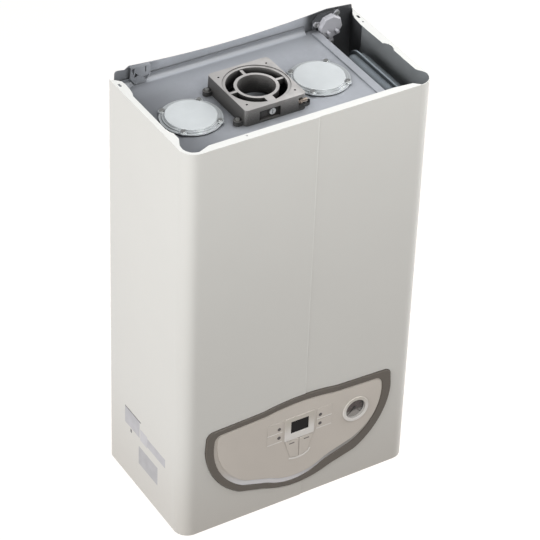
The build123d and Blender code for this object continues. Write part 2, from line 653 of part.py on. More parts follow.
def panel_arm(sign):
    """Sheet arm from the rear frame to the panel, with a foot that the casing screws to."""
    end = FRONT_Y + ARM_FRONT
    foot_end = end + ARM_SLOPE_L
    foot_z = CASE_T + KEY_GAP
    head = PIVOT_Z + 2 * PIVOT_R
    top = SHELF_TOP_Z + ARM_H
    web = [(-FRAME_T, SHELF_TOP_Z), (-SHELF_D, SHELF_TOP_Z), (foot_end, foot_z), (end, foot_z),
           (end, head), (end + ARM_HEAD_L, head), (end + ARM_HEAD_L + ARM_SLOPE_L, top), (-FRAME_T, top)]
    x0 = ARM_X if sign > 0 else -ARM_X - ARM_T
    arm = side(web, x0, x0 + ARM_T)
    foot = block(-FOOT_W / 2, FOOT_W / 2, end, foot_end, foot_z, foot_z + ARM_T)
    arm += Pos(sign * (ARM_X + ARM_T - FOOT_W / 2), 0, 0) * foot
    notch_r = SCREW_R + KEY_GAP
    notch_z = foot_z + SCREW_L + SCREW_HEAD_H
    arm -= post(sign * ARM_X, foot_screw_y(), 0, notch_z, notch_r)
    arm -= block(sign * ARM_X - notch_r, sign * ARM_X + notch_r, end - 1, foot_screw_y(), 0, notch_z)
    tab = block(0, ARM_TAB_W, -2 * FRAME_T, -FRAME_T, SHELF_TOP_Z, top)
    arm += Pos(x0 if sign > 0 else x0 + ARM_T - ARM_TAB_W, 0, 0) * tab
    return arm - bar_x(pivot_y(), PIVOT_Z, x0 - 1, x0 + ARM_T + 1, PIVOT_R + RUNNING_GAP)


def pivot_y():
    """Depth of the control box pivots."""
    return FASCIA_BACK_Y + PIVOT_BACK


# ---------------------------------------------------------------- sealed chamber
def cover_screw_places():
    """Eight screws round the chamber cover."""
    inset = CHAMBER_LIP / 2
    xs = (CHAMBER_LEFT + inset, CHAMBER_MID_X, CHAMBER_RIGHT - inset)
    zs = (CHAMBER_LOW_Z + inset, (CHAMBER_LOW_Z + CHAMBER_TOP_Z) / 2, CHAMBER_TOP_Z - inset)
    return [(x, z) for x in xs for z in zs if (x, z) != (xs[1], zs[1])]


def lug_places():
    """Four lugs round a cap, seen from above, from the cap's centre."""
    reach = CAP_LUG_PCR * math.sqrt(0.5)
    return four(2 * reach, 2 * reach)


def top_screw_places():
    """Screws through the adaptor lugs and the cap lugs: x, y and the seat height."""
    seats = [(FLUE_X + x, FLUE_Y + y, ADAPTOR_LOW_Z + LUG_T) for x, y in four(2 * LUG_X, 2 * LUG_Y)]
    for cap_x in (CAP_LEFT_X, CAP_RIGHT_X):
        seats += [(cap_x + x, CAP_Y + y, CAP_SEAT_Z) for x, y in lug_places()]
    return seats


def chamber_body():
    """Sheet box, open at the front, with the flue and cap openings in its top."""
    outer = block(CHAMBER_LEFT, CHAMBER_RIGHT, CHAMBER_FRONT_Y, CHAMBER_BACK_Y,
                  CHAMBER_LOW_Z, CHAMBER_TOP_Z)
    inner = block(CHAMBER_LEFT + CHAMBER_T, CHAMBER_RIGHT - CHAMBER_T,
                  CHAMBER_FRONT_Y + CHAMBER_T, CHAMBER_BACK_Y - CHAMBER_T,
                  CHAMBER_LOW_Z + CHAMBER_T, CHAMBER_TOP_Z - CHAMBER_T)
    mouth = block(CHAMBER_LEFT + CHAMBER_LIP, CHAMBER_RIGHT - CHAMBER_LIP,
                  CHAMBER_FRONT_Y - 1, CHAMBER_FRONT_Y + 2 * CHAMBER_T,
                  CHAMBER_LOW_Z + CHAMBER_LIP, CHAMBER_TOP_Z - CHAMBER_LIP)
    body = outer - inner - mouth + rear_upstand()
    strip = block(CHAMBER_RIGHT - STRIP_W, CHAMBER_RIGHT, CHAMBER_FRONT_Y, CHAMBER_BACK_Y - STRIP_BACK,
                  CHAMBER_TOP_Z, CHAMBER_TOP_Z + STRIP_H)
    body += fillet(strip.edges().filter_by(Axis.Y).group_by(Axis.Z)[-1], STRIP_H / 2)
    z0, z1 = CHAMBER_TOP_Z - 2 * CHAMBER_T, CHAMBER_TOP_Z + 2 * CHAMBER_T
    body -= post(FLUE_X, FLUE_Y, z0, z1, AIR_SLOT_R + 1)
    for x in (CAP_LEFT_X, CAP_RIGHT_X):
        body -= post(x, CAP_Y, z0, z1, CAP_HOLE_R)
    for x, y, _ in top_screw_places():
        body -= post(x, y, z0, z1, SCREW_R + SCREW_GAP)
    for x, z in cover_screw_places():
        body -= bar_y(x, z, CHAMBER_FRONT_Y - 1, CHAMBER_FRONT_Y + 2 * CHAMBER_T, SCREW_R + SCREW_GAP)
    for x, y, r in ((flow_riser_x(), TAIL_Y, PIPE_R), (return_riser_x(), TAIL_Y, PIPE_R),
                    (GAS_X, gas_riser_y(), GAS_PIPE_R)):
        body -= post(x, y, CHAMBER_LOW_Z - 1, CHAMBER_LOW_Z + 2 * CHAMBER_T, r + KEY_GAP)
    return body


def rear_upstand():
    """Rear edge of the chamber top, curved up against the frame."""
    back, top = CHAMBER_BACK_Y, CHAMBER_TOP_Z
    face = back - CHAMBER_T
    start = top + UPSTAND_R
    bend = UPSTAND_R * (1 - math.sqrt(0.5))
    profile = make_face([
        Line((back, top), (back, top + UPSTAND_H)),
        Line((back, top + UPSTAND_H), (face, top + UPSTAND_H)),
        Line((face, top + UPSTAND_H), (face, start)),
        ThreePointArc((face, start), (face - bend, top + bend), (face - UPSTAND_R, top)),
        Line((face - UPSTAND_R, top), (back, top)),
    ])
    return extrude(Plane.YZ.offset(CHAMBER_LEFT) * profile, CHAMBER_W - UPSTAND_END)


def chamber_cover():
    """Front cover with a pressed field."""
    centre = Pos(CHAMBER_MID_X, (CHAMBER_LOW_Z + CHAMBER_TOP_Z) / 2)
    cover = front(centre * RectangleRounded(CHAMBER_W, CHAMBER_H, 4), CHAMBER_FRONT_Y, COVER_T)
    w, h = CHAMBER_W - 2 * COVER_EDGE, CHAMBER_H - 2 * COVER_EDGE
    cover += front(centre * RectangleRounded(w, h, 20), CHAMBER_FRONT_Y - COVER_T, COVER_FIELD_H)
    inside = RectangleRounded(w - 2 * COVER_WALL, h - 2 * COVER_WALL, 20 - COVER_WALL)
    cover -= front(centre * inside, CHAMBER_FRONT_Y, COVER_FIELD_H)
    for x, z in cover_screw_places():
        cover -= bar_y(x, z, CHAMBER_FRONT_Y - 2 * COVER_T, CHAMBER_FRONT_Y + 1, SCREW_R + SCREW_GAP)
    return cover


def machine_screws():
    """Identical screws: adaptor lugs, cap lugs, chamber cover and pressure switch."""
    screws = [post(x, y, z - SCREW_L, z, SCREW_R) + post(x, y, z, z + SCREW_HEAD_H, SCREW_HEAD_R)
              for x, y, z in top_screw_places()]
    places = [(x, z, CHAMBER_FRONT_Y - COVER_T) for x, z in cover_screw_places()]
    places += [(x, z, HOOK_COVER_Y - SWITCH_LUG_T) for x, z in switch_lugs()]
    for x, z, y in places:
        length = min(SCREW_L, -FRAME_T - SCREW_GAP - y)
        shank = bar_y(x, z, y, y + length, SCREW_R)
        screws.append(shank + bar_y(x, z, y - SCREW_HEAD_H, y, SCREW_HEAD_R))
    return screws


# ---------------------------------------------------------------- flue adaptor and caps
def adaptor_lug_places():
    """Four lugs of the adaptor, from the flue axis."""
    return four(2 * LUG_X, 2 * LUG_Y)


def flue_adaptor():
    """Cast adaptor: flue tube held by four ribs inside a ring of air slots."""
    front_y = -ADAPTOR_L / 2
    body = extrude(RectangleRounded(ADAPTOR_W, ADAPTOR_L, ADAPTOR_CORNER_R), ADAPTOR_H, taper=ADAPTOR_DRAFT)
    for x, y in adaptor_lug_places():
        body += post(x, y, 0, LUG_T, LUG_R)
        body += block(min(x, 0), max(x, 0), y - LUG_R, y + LUG_R, 0, LUG_T)
    body -= Pos(ADAPTOR_W / 2, front_y, -1) * Cylinder(SCOOP_R, ADAPTOR_H - SCOOP_ROOF + 1, align=LOW)
    body -= post(0, 0, -1, ADAPTOR_H + 1, AIR_SLOT_R)
    body -= post(0, 0, ADAPTOR_H - GROOVE_D, ADAPTOR_H + 1, ADAPTOR_GROOVE_R)
    reach = AIR_SLOT_R + 2
    ribs = Box(2 * reach, RIB_W, RIB_H, align=LOW)
    ribs += Pos(0, reach / 2, 0) * Box(RIB_W, reach, RIB_H, align=LOW)
    ribs += Pos(0, -reach / 2, 0) * Box(WIDE_RIB_W, reach, RIB_H, align=LOW)
    body += Pos(0, 0, ADAPTOR_H - FLUE_TUBE_SET - RIB_H) * ribs
    body += post(0, 0, -GASKET_T - FLUE_TUBE_DROP, ADAPTOR_H - FLUE_TUBE_SET, FLUE_TUBE_R)
    body -= post(0, 0, -3 * FLUE_TUBE_DROP, ADAPTOR_H + 1, FLUE_BORE_R)
    body -= front(Pos(POCKET_X, POCKET_Z) * Rectangle(*POCKET), front_y + POCKET_D, 2 * POCKET_D)
    body -= bar_y(PLUG_X, POCKET_Z, front_y, front_y + POCKET_D + PLUG_L, PLUG_R + SCREW_GAP)
    body -= bar_x(*nipple_place(), ADAPTOR_W / 2 - SCOOP_R - NIPPLE_ROOT, ADAPTOR_W / 2, NIPPLE_R)
    for x, y in four(FLANGE_SCREW_PITCH, FLANGE_SCREW_PITCH):
        body -= post(x, y, ADAPTOR_H / 2, ADAPTOR_H + 1, FLANGE_SCREW_R)
    for x, y in adaptor_lug_places():
        body -= post(x, y, -1, LUG_T + 1, SCREW_R + SCREW_GAP)
    return Pos(FLUE_X, FLUE_Y, ADAPTOR_LOW_Z) * body


def nipple_place():
    """Axis of the brass nipple across the scoop, from the foot of the adaptor: y and z."""
    return NIPPLE_IN - ADAPTOR_L / 2, NIPPLE_Z


def flue_gasket():
    """Flat gasket under the adaptor."""
    plan = RectangleRounded(ADAPTOR_W, ADAPTOR_L, ADAPTOR_CORNER_R)
    for x, y in adaptor_lug_places():
        plan += Pos(x, y) * Circle(LUG_R) + Pos(x / 2, y) * Rectangle(abs(x), 2 * LUG_R)
    plan -= Circle(AIR_SLOT_R)
    for x, y in adaptor_lug_places():
        plan -= Pos(x, y) * Circle(SCREW_R + SCREW_GAP)
    return Pos(FLUE_X, FLUE_Y, CHAMBER_TOP_Z) * extrude(plan, GASKET_T)


def test_plug():
    """Slotted plug in the front pocket of the adaptor."""
    x, z = FLUE_X + PLUG_X, ADAPTOR_LOW_Z + POCKET_Z
    seat = FLUE_Y - ADAPTOR_L / 2 + POCKET_D
    head = bar_y(x, z, seat - PLUG_HEAD_H, seat, PLUG_R + 1.5)
    slot = block(x - 0.6, x + 0.6, seat - PLUG_HEAD_H - 1, seat - PLUG_HEAD_H / 2, z - PLUG_R, z + PLUG_R)
    return head + bar_y(x, z, seat, seat + PLUG_L, PLUG_R) - slot


def test_nipple():
    """Brass sampling nipple across the scoop of the adaptor."""
    y, z = nipple_place()
    y, z = FLUE_Y + y, ADAPTOR_LOW_Z + z
    side_x = FLUE_X + ADAPTOR_W / 2
    wall = side_x - math.sqrt(SCOOP_R**2 - NIPPLE_IN**2)
    root = side_x - SCOOP_R - NIPPLE_ROOT
    nipple = bar_x(y, z, root, wall + NIPPLE_L, NIPPLE_R)
    seat = side_x - math.sqrt(SCOOP_R**2 - (NIPPLE_IN + NIPPLE_HEX_R)**2)
    nipple += extrude(Plane.YZ.offset(seat) * Pos(y, z) * RegularPolygon(NIPPLE_HEX_R, 6), NIPPLE_HEX_H)
    return nipple - bar_x(y, z, root + 1, wall + NIPPLE_L + 1, NIPPLE_R - 1.2)


def cap_flange(cap_x):
    """Two-tiered ring with four lugs that clamps a blanking disc over its gasket."""
    upper = Circle(CAP_RING_R)
    for x, y in lug_places():
        upper += Pos(x, y) * Circle(CAP_LUG_R)
    flange = extrude(Circle(CAP_BASE_R), CAP_BASE_T)
    flange += Pos(0, 0, CAP_BASE_T) * extrude(upper, CAP_RING_T)
    seat = CAP_BASE_T + CAP_RING_T
    flange += post(0, 0, seat, seat + CAP_COLLAR, CAP_DISC_R + CAP_COLLAR)
    flange -= post(0, 0, seat - CAP_COLLAR, seat + 2 * CAP_COLLAR, CAP_DISC_R)
    flange -= post(0, 0, -1, seat + 1, CAP_HOLE_R)
    for x, y in lug_places():
        flange -= post(x, y, -1, seat + 1, SCREW_R + SCREW_GAP)
    return Pos(cap_x, CAP_Y, CAP_LOW_Z) * flange


def cap_disc(cap_x):
    """Blanking disc with a softly rounded edge."""
    disc = post(0, 0, CAP_SEAT_Z - CAP_COLLAR, CAP_SEAT_Z - CAP_COLLAR + CAP_DISC_T, CAP_DISC_R)
    disc = fillet(disc.edges().sort_by(Axis.Z)[-1], 0.8)
    return Pos(cap_x, CAP_Y, 0) * disc


def cap_gaskets():
    """A gasket ring under each cap."""
    plan = Circle(CAP_BASE_R - 1) - Circle(CAP_HOLE_R + 1)
    for x, y in lug_places():
        plan -= Pos(x, y) * Circle(SCREW_R + SCREW_GAP)
    ring = extrude(plan, GASKET_T)
    return [Pos(x, CAP_Y, CHAMBER_TOP_Z) * ring for x in (CAP_LEFT_X, CAP_RIGHT_X)]


# ---------------------------------------------------------------- fan and flue hood
def scroll_outline(inset):
    """Front view of the fan scroll: a growing spiral that runs into an upward duct."""
    def spiral(turn):
        r = SCROLL_R0 + (SCROLL_R1 - SCROLL_R0) * turn - inset
        angle = math.radians(90 + 270 * turn)
        return r * math.cos(angle), r * math.sin(angle)

    inner_x = SCROLL_R1 - DUCT_W + inset
    outer_x = SCROLL_R1 - inset
    arcs = [ThreePointArc(spiral(i / 3), spiral((i + 0.5) / 3), spiral((i + 1) / 3)) for i in range(3)]
    return make_face([
        *arcs,
        Line((outer_x, 0), (outer_x, DUCT_RISE)),
        Line((outer_x, DUCT_RISE), (inner_x, DUCT_RISE)),
        Line((inner_x, DUCT_RISE), (inner_x, SCROLL_R0 - inset)),
        Line((inner_x, SCROLL_R0 - inset), (0, SCROLL_R0 - inset)),
    ])


def fan_housing():
    """Sheet scroll with its inlet eye, duct and round outlet."""
    body = front(scroll_outline(0), FAN_BACK_Y, FAN_W)
    body -= front(scroll_outline(FAN_T), FAN_BACK_Y - FAN_T, FAN_W - 2 * FAN_T)
    body -= bar_y(0, 0, FAN_BACK_Y - 2 * FAN_T, FAN_BACK_Y + 1, EYE_R)
    body -= bar_y(0, 0, FAN_FRONT_Y - 1, FAN_FRONT_Y + 2 * FAN_T, SHAFT_R + 2)
    duct_x = SCROLL_R1 - DUCT_W / 2
    end = DUCT_RISE + DUCT_GAP - KEY_GAP
    body += post(duct_x, FLUE_Y, DUCT_RISE, end, SPIGOT_R)
    body -= post(duct_x, FLUE_Y, DUCT_RISE - 2 * FAN_T, end + 1, SPIGOT_R - FAN_T)
    return Pos(FAN_X, 0, FAN_Z) * body


def fan_impeller():
    """Wheel with forward-curved blades between a back plate and a shroud ring."""
    y0 = FAN_FRONT_Y + FAN_T + 2
    plate = bar_y(0, 0, y0, y0 + WHEEL_T, WHEEL_R)
    shroud_y = y0 + WHEEL_W - WHEEL_T
    ring = front(Circle(WHEEL_R) - Circle(WHEEL_IN_R), shroud_y + WHEEL_T, WHEEL_T)
    span = WHEEL_R - WHEEL_IN_R
    mid = (WHEEL_R + WHEEL_IN_R) / 2
    curve = ThreePointArc((WHEEL_IN_R + 0.3, 0), (mid, -span * 0.22), (WHEEL_R - 0.3, span * 0.28))
    blade = make_face([
        *curve.edges(),
        Line(curve @ 1, curve @ 1 + Vector(0, BLADE_T)),
        ThreePointArc(curve @ 1 + Vector(0, BLADE_T), curve @ 0.5 + Vector(0, BLADE_T),
                      curve @ 0 + Vector(0, BLADE_T)),
        Line(curve @ 0 + Vector(0, BLADE_T), curve @ 0),
    ])
    blade = front(blade, shroud_y, WHEEL_W - 2 * WHEEL_T)
    wheel = plate + ring
    wheel += [Rot(0, 360 * i / BLADES, 0) * blade for i in range(BLADES)]
    wheel += bar_y(0, 0, FAN_FRONT_Y - MOTOR_L + 6, y0 + 8, SHAFT_R)
    return Pos(FAN_X, 0, FAN_Z) * wheel


def fan_motor():
    """Fan motor: a round can with cooling slots on a mounting plate."""
    y0 = FAN_FRONT_Y - MOTOR_L
    motor = bar_y(0, 0, y0, FAN_FRONT_Y, MOTOR_R)
    motor = fillet(motor.edges().sort_by(Axis.Y)[0], 6)
    for i in range(12):
        slot = front(Pos(0, MOTOR_R) * Rectangle(4, 6), y0 + MOTOR_L - 8, MOTOR_L - 22)
        motor -= Rot(0, 30 * i, 0) * slot
    motor -= bar_y(0, 0, y0 + 5, FAN_FRONT_Y + 1, SHAFT_R + RUNNING_GAP)
    return Pos(FAN_X, 0, FAN_Z) * motor


def hood_shape(inset):
    """Flue hood: a tapered box with a duct behind the fan."""
    low = Plane.XY.offset(HOOD_LOW_Z) * Pos(FLUE_X, FIRE_Y) * Rectangle(
        FIRE_W - 2 * inset, FIRE_D - 2 * inset)
    high = Plane.XY.offset(HOOD_TOP_Z - inset) * Pos(FAN_X + 10, FLUE_Y + 6) * Rectangle(
        HOOD_DUCT_W + 20 - 2 * inset, FAN_W + HOOD_DUCT_D - 2 * inset)
    taper = loft([low, high])
    duct = block(FAN_X - HOOD_DUCT_W / 2 + inset, FAN_X + HOOD_DUCT_W / 2 - inset,
                 FAN_BACK_Y + inset, FAN_BACK_Y + HOOD_DUCT_D - inset,
                 HOOD_LOW_Z + HOOD_H / 2, FAN_Z + HOOD_DUCT_W / 2 - inset)
    return taper, duct


def flue_hood():
    """Sheet hood that gathers the flue gas and leads it to the fan eye."""
    taper, duct = hood_shape(0)
    hollow_taper, hollow_duct = hood_shape(FAN_T)
    hood = taper + duct - hollow_taper - hollow_duct
    return hood - bar_y(FAN_X, FAN_Z, FAN_BACK_Y - 1, FAN_BACK_Y + 2 * FAN_T, EYE_R)


# ---------------------------------------------------------------- exchanger and burner
def flow_riser_x():
    """Place of the flow pipe across the chamber floor, clear of the valve and of the header."""
    valve_side = FLOW_X - VALVE_R - VALVE_INLET_L
    header_side = FLUE_X - FIRE_W / 2 - HEADER_W
    return min(valve_side, header_side) - RISER_RUN


def return_riser_x():
    """Place of the return pipe across the chamber floor."""
    return FLUE_X + FIRE_W / 2 + HEADER_W + RISER_RUN


def heat_exchanger():
    """Finned block with a header on each side."""
    z0, z1 = EXCHANGER_LOW_Z, HOOD_LOW_Z
    x0, x1 = FLUE_X - FIRE_W / 2, FLUE_X + FIRE_W / 2
    y0, y1 = FIRE_Y - FIRE_D / 2, FIRE_Y + FIRE_D / 2
    side_t, face_t = 5.0, 3.0
    frame = block(x0, x1, y0, y1, z0, z1)
    frame -= block(x0 + side_t, x1 - side_t, y0 + face_t, y1 - face_t, z0 - 1, z1 + 1)
    pitch = (FIRE_W - 2 * side_t) / (EXCHANGER_FINS + 1)
    fin = block(-FIN_T / 2, FIN_T / 2, y0 + face_t, y1 - face_t, z0 + 4, z1 - 4)
    fins = [Pos(x0 + side_t + pitch * (i + 1), 0, 0) * fin for i in range(EXCHANGER_FINS)]
    mid_z = (z0 + z1) / 2
    tube_pitch = FIRE_D / (EXCHANGER_TUBES + 1)
    tubes = [bar_x(y0 + (i + 1) * tube_pitch, mid_z, x0, x1, PIPE_R) for i in range(EXCHANGER_TUBES)]
    body = frame + fins + tubes
    for x in (x0 - HEADER_W, x1):
        body += block(x, x + HEADER_W, y0 + 10, y1 - 10, mid_z - HEADER_H / 2, mid_z + HEADER_H / 2)
    return body


def riser(x, side_sign, low_points):
    """Water pipe from the hydraulics up to a header of the exchanger."""
    mid_z = (EXCHANGER_LOW_Z + HOOD_LOW_Z) / 2
    header_x = FLUE_X + side_sign * (FIRE_W / 2 + HEADER_W)
    return bent_pipe([*low_points, (x, TAIL_Y, mid_z), (header_x, TAIL_Y, mid_z)],
                     PIPE_R, PIPE_WALL, PIPE_BEND)


def combustion_box():
    """Sheet walls round the flame."""
    plan = Rectangle(FIRE_W, FIRE_D) - Rectangle(FIRE_W - 2 * FIRE_T, FIRE_D - 2 * FIRE_T)
    box = Pos(FLUE_X, FIRE_Y, FIRE_LOW_Z) * extrude(plan, FIRE_H)
    return box - electrode_holes()


def insulation_lining():
    """Ceramic fibre boards inside the combustion box, joined at the corners."""
    w, d = FIRE_W - 2 * FIRE_T, FIRE_D - 2 * FIRE_T
    plan = Rectangle(w, d) - Rectangle(w - 2 * LINING_T, d - 2 * LINING_T)
    lining = Pos(FLUE_X, FIRE_Y, FIRE_LOW_Z) * extrude(plan, FIRE_H)
    return lining - electrode_holes()


def electrode_holes():
    """Clearance for the two electrodes through the front wall and its lining."""
    y = FIRE_Y - FIRE_D / 2
    return [bar_y(x, electrode_z(), y - 1, y + LINING_T + 2 * FIRE_T, ELECTRODE_R + SCREW_GAP)
            for x, _ in electrode_places()]


def electrode_places():
    """Ignition electrode and flame probe: x and reach."""
    return [(FLUE_X + x, reach) for x, reach in ELECTRODES]


def electrode_z():
    """Height of the electrodes over the burner."""
    return FIRE_LOW_Z + ELECTRODE_RISE


def blade_pitch():
    """Distance between the burner blades."""
    return (FIRE_W - 2 * BURNER_BLADE_W) / BURNER_BLADES


def blade_outline(wall):
    """Waisted section of a burner blade, moved inwards by wall."""
    half = BURNER_BLADE_W / 2
    edge = [(half * 0.6, 0), (half, BURNER_H * 0.3), (half * 0.5, BURNER_H * 0.6), (half, BURNER_H)]
    edge = [(x - wall, min(max(z, wall), BURNER_H - wall)) for x, z in edge]
    return make_face(Polyline(*[(-x, z) for x, z in edge], *reversed(edge), close=True))


def burner():
    """Row of hollow blades on two rails and four legs."""
    pitch = blade_pitch()
    x0 = FLUE_X - pitch * (BURNER_BLADES - 1) / 2
    y0, y1 = FIRE_Y - BURNER_L / 2, FIRE_Y + BURNER_L / 2
    blade = front(Pos(0, BURNER_LOW_Z) * blade_outline(0), y1, BURNER_L)
    blade -= front(Pos(0, BURNER_LOW_Z) * blade_outline(BURNER_WALL), y1 - BURNER_WALL,
                   BURNER_L - 2 * BURNER_WALL)
    blade -= bar_y(0, NOZZLE_Z, y0 - 1, y0 + 2 * BURNER_WALL, NOZZLE_R + 1)
    row = Part() + [Pos(x0 + i * pitch, 0, 0) * blade for i in range(BURNER_BLADES)]
    left, right = FLUE_X - FIRE_W / 2, FLUE_X + FIRE_W / 2
    for y in (y0 + 16, y1 - 16):
        for i in range(BURNER_BLADES + 1):
            tie = BURNER_BLADE_W * 0.4
            x = x0 + (i - 1) * pitch + tie if i else left
            end = x0 + i * pitch - tie if i < BURNER_BLADES else right
            row += block(x, end, y - 4, y + 4, BURNER_LOW_Z + 6, BURNER_LOW_Z + 12)
        for x in (left, right - 3):
            row += block(x, x + 3, y - 4, y + 4, CHAMBER_LOW_Z + CHAMBER_T, FIRE_LOW_Z)
    return row


def manifold_y():
    """Centre of the gas rail in front of the burner."""
    return FIRE_Y - BURNER_L / 2 - RAIL_D


def gas_manifold():
    """Gas rail with a nozzle for each burner blade."""
    pitch = blade_pitch()
    x0 = FLUE_X - pitch * (BURNER_BLADES - 1) / 2
    y = manifold_y()
    half = FIRE_W / 2 - RAIL_END
    rail = block(FLUE_X - half, FLUE_X + half, y - RAIL_D / 2, y + RAIL_D / 2,
                 NOZZLE_Z - RAIL_H / 2, NOZZLE_Z + RAIL_H / 2)
    rail = fillet(rail.edges().filter_by(Axis.X), 4)
    nozzle_end = FIRE_Y - BURNER_L / 2 + BURNER_WALL
    for i in range(BURNER_BLADES):
        rail += bar_y(x0 + i * pitch, NOZZLE_Z, y, nozzle_end, NOZZLE_R)
    for x in (FLUE_X - half + 4, FLUE_X + half - 4):
        rail += block(x - 4, x + 4, y - 1, y + 1, CHAMBER_LOW_Z + CHAMBER_T, NOZZLE_Z)
    return rail


def electrodes():
    """Two ceramic-sleeved rods through the front of the combustion box."""
    rods = []
    y = FIRE_Y - FIRE_D / 2
    for x, reach in electrode_places():
        rod = bar_y(x, electrode_z(), y - LINING_T, y + LINING_T + 4, ELECTRODE_R)
        rods.append(rod + bar_y(x, electrode_z(), y, y + LINING_T + reach, PROBE_R))
    return rods


# ---------------------------------------------------------------- gas line
def gas_riser_y():
    """Depth of the gas pipe above the gas valve."""
    return TAIL_Y - 30.0


def gas_inlet():
    """Gas tail and the pipe up to the gas valve."""
    pipe = tail(GAS_X, TAIL_BIG_R)
    pipe += post(GAS_X, TAIL_Y, SHELF_TOP_Z, GAS_VALVE_LOW_Z - 12, PIPE_R)
    pipe += extrude(Plane.XY.offset(GAS_VALVE_LOW_Z - 12) * Pos(GAS_X, TAIL_Y) * RegularPolygon(15, 6), 12)
    return pipe - post(GAS_X, TAIL_Y, -TAIL_DROP - 1, GAS_VALVE_LOW_Z + 1, PIPE_R - PIPE_WALL)


def gas_valve():
    """Gas valve block with two solenoid coils and a modulator."""
    y1 = TAIL_Y + 16
    y0 = y1 - GAS_VALVE_D
    z0, z1 = GAS_VALVE_LOW_Z, GAS_VALVE_LOW_Z + GAS_VALVE_H
    mid_z = (z0 + z1) / 2
    half = GAS_VALVE_W / 2
    body = block(GAS_X - half, GAS_X + half, y0, y1, z0, z1)
    body = fillet(body.edges().filter_by(Axis.Y), 8)
    for x in (GAS_X - half - COIL_L, GAS_X + half):
        body += bar_x((y0 + y1) / 2, mid_z, x, x + COIL_L, COIL_R)
    body += bar_y(GAS_X, mid_z, y0 - MODULATOR_L, y0, MODULATOR_R)
    body -= post(GAS_X, TAIL_Y, z0 - 1, z0 + 20, PIPE_R - PIPE_WALL)
    return body - post(GAS_X, gas_riser_y(), z1 - 20, z1 + 1, GAS_PIPE_R - PIPE_WALL)


def gas_pipe():
    """Pipe from the gas valve up to the burner rail."""
    low = GAS_VALVE_LOW_Z + GAS_VALVE_H
    y = gas_riser_y()
    turn_z = CHAMBER_LOW_Z + PIPE_BEND
    return bent_pipe([(GAS_X, y, low), (GAS_X, y, turn_z), (GAS_X, manifold_y(), turn_z),
                      (GAS_X, manifold_y(), NOZZLE_Z - RAIL_H / 2)], GAS_PIPE_R, PIPE_WALL, 8)


# ---------------------------------------------------------------- water groups
def tail(x, r):
    """Connection tail through the shelf with its hexagon above it."""
    body = post(x, TAIL_Y, -TAIL_DROP, SHELF_TOP_Z, r)
    body += post(x, TAIL_Y, SHELF_Z - LOCK_H, SHELF_Z, r + 4)
    return body + extrude(Plane.XY.offset(SHELF_TOP_Z) * Pos(x, TAIL_Y) * RegularPolygon(r + 5, 6), COLLAR_H)


def bore(x, r, top):
    """Water way up a connection tail."""
    return post(x, TAIL_Y, -TAIL_DROP - 1, top, r * TAIL_BORE)


def plate_ports():
    """Heights of the lower and upper ports of the plate exchanger."""
    return PLATE_LOW_Z + PLATE_PORT_IN, PLATE_LOW_Z + PLATE_H - PLATE_PORT_IN


def flow_group():
    """Left casting: flow and hot water tails, three-way valve body."""
    low, high = plate_ports()
    plate_front = -PLATE_BACK - PLATE_D
    body = tail(FLOW_X, TAIL_BIG_R) + tail(HOT_X, TAIL_SMALL_R)
    body += post(FLOW_X, TAIL_Y, SHELF_TOP_Z, VALVE_TOP_Z, VALVE_R)
    body += post(HOT_X, TAIL_Y, SHELF_TOP_Z, high, TAIL_SMALL_R)
    body += bar_y(HOT_X, low, TAIL_Y, plate_front, PIPE_R)
    body += bar_x(TAIL_Y, high, FLOW_X, HOT_X, PIPE_R)
    body += Pos(HOT_X, TAIL_Y, high) * Sphere(PIPE_R + 1)
    body += bar_y(HOT_X, high, TAIL_Y, plate_front, PIPE_R)
    inlet = (VALVE_TOP_Z + SHELF_TOP_Z) / 2
    body += bar_x(TAIL_Y, inlet, FLOW_X - VALVE_R - VALVE_INLET_L, FLOW_X, PIPE_R + 3)
    body -= bore(FLOW_X, TAIL_BIG_R, SHELF_TOP_Z + 20)
    body -= bore(HOT_X, TAIL_SMALL_R, low)
    chamber = post(FLOW_X, TAIL_Y, SHELF_TOP_Z + 20, VALVE_TOP_Z - 12, STEM_DISC_R + 4)
    body -= chamber
    return body - post(FLOW_X, TAIL_Y, VALVE_TOP_Z - 13, VALVE_TOP_Z + 1, STEM_R + RUNNING_GAP)


def valve_stem():
    """Stem with its sealing disc; it rises to send the water to the plate exchanger."""
    seat = SHELF_TOP_Z + 20 + KEY_GAP
    stem = post(FLOW_X, TAIL_Y, seat, VALVE_TOP_Z + 14, STEM_R)
    return stem + post(FLOW_X, TAIL_Y, seat, seat + 6, STEM_DISC_R)


def valve_actuator():
    """Motor head clipped on the valve body, hollow where the stem rises."""
    head = post(FLOW_X, TAIL_Y, VALVE_TOP_Z, VALVE_TOP_Z + ACTUATOR_H, VALVE_R + 2)
    half = VALVE_R - 3
    head += block(FLOW_X - half, FLOW_X + half, TAIL_Y - ACTUATOR_D, TAIL_Y,
                  VALVE_TOP_Z + 12, VALVE_TOP_Z + ACTUATOR_H - 6)
    head = fillet(head.edges().sort_by(Axis.Z)[-1], 4)
    return head - post(FLOW_X, TAIL_Y, VALVE_TOP_Z - 1, VALVE_TOP_Z + 14 + STEM_TRAVEL + 2, STEM_R + 1)


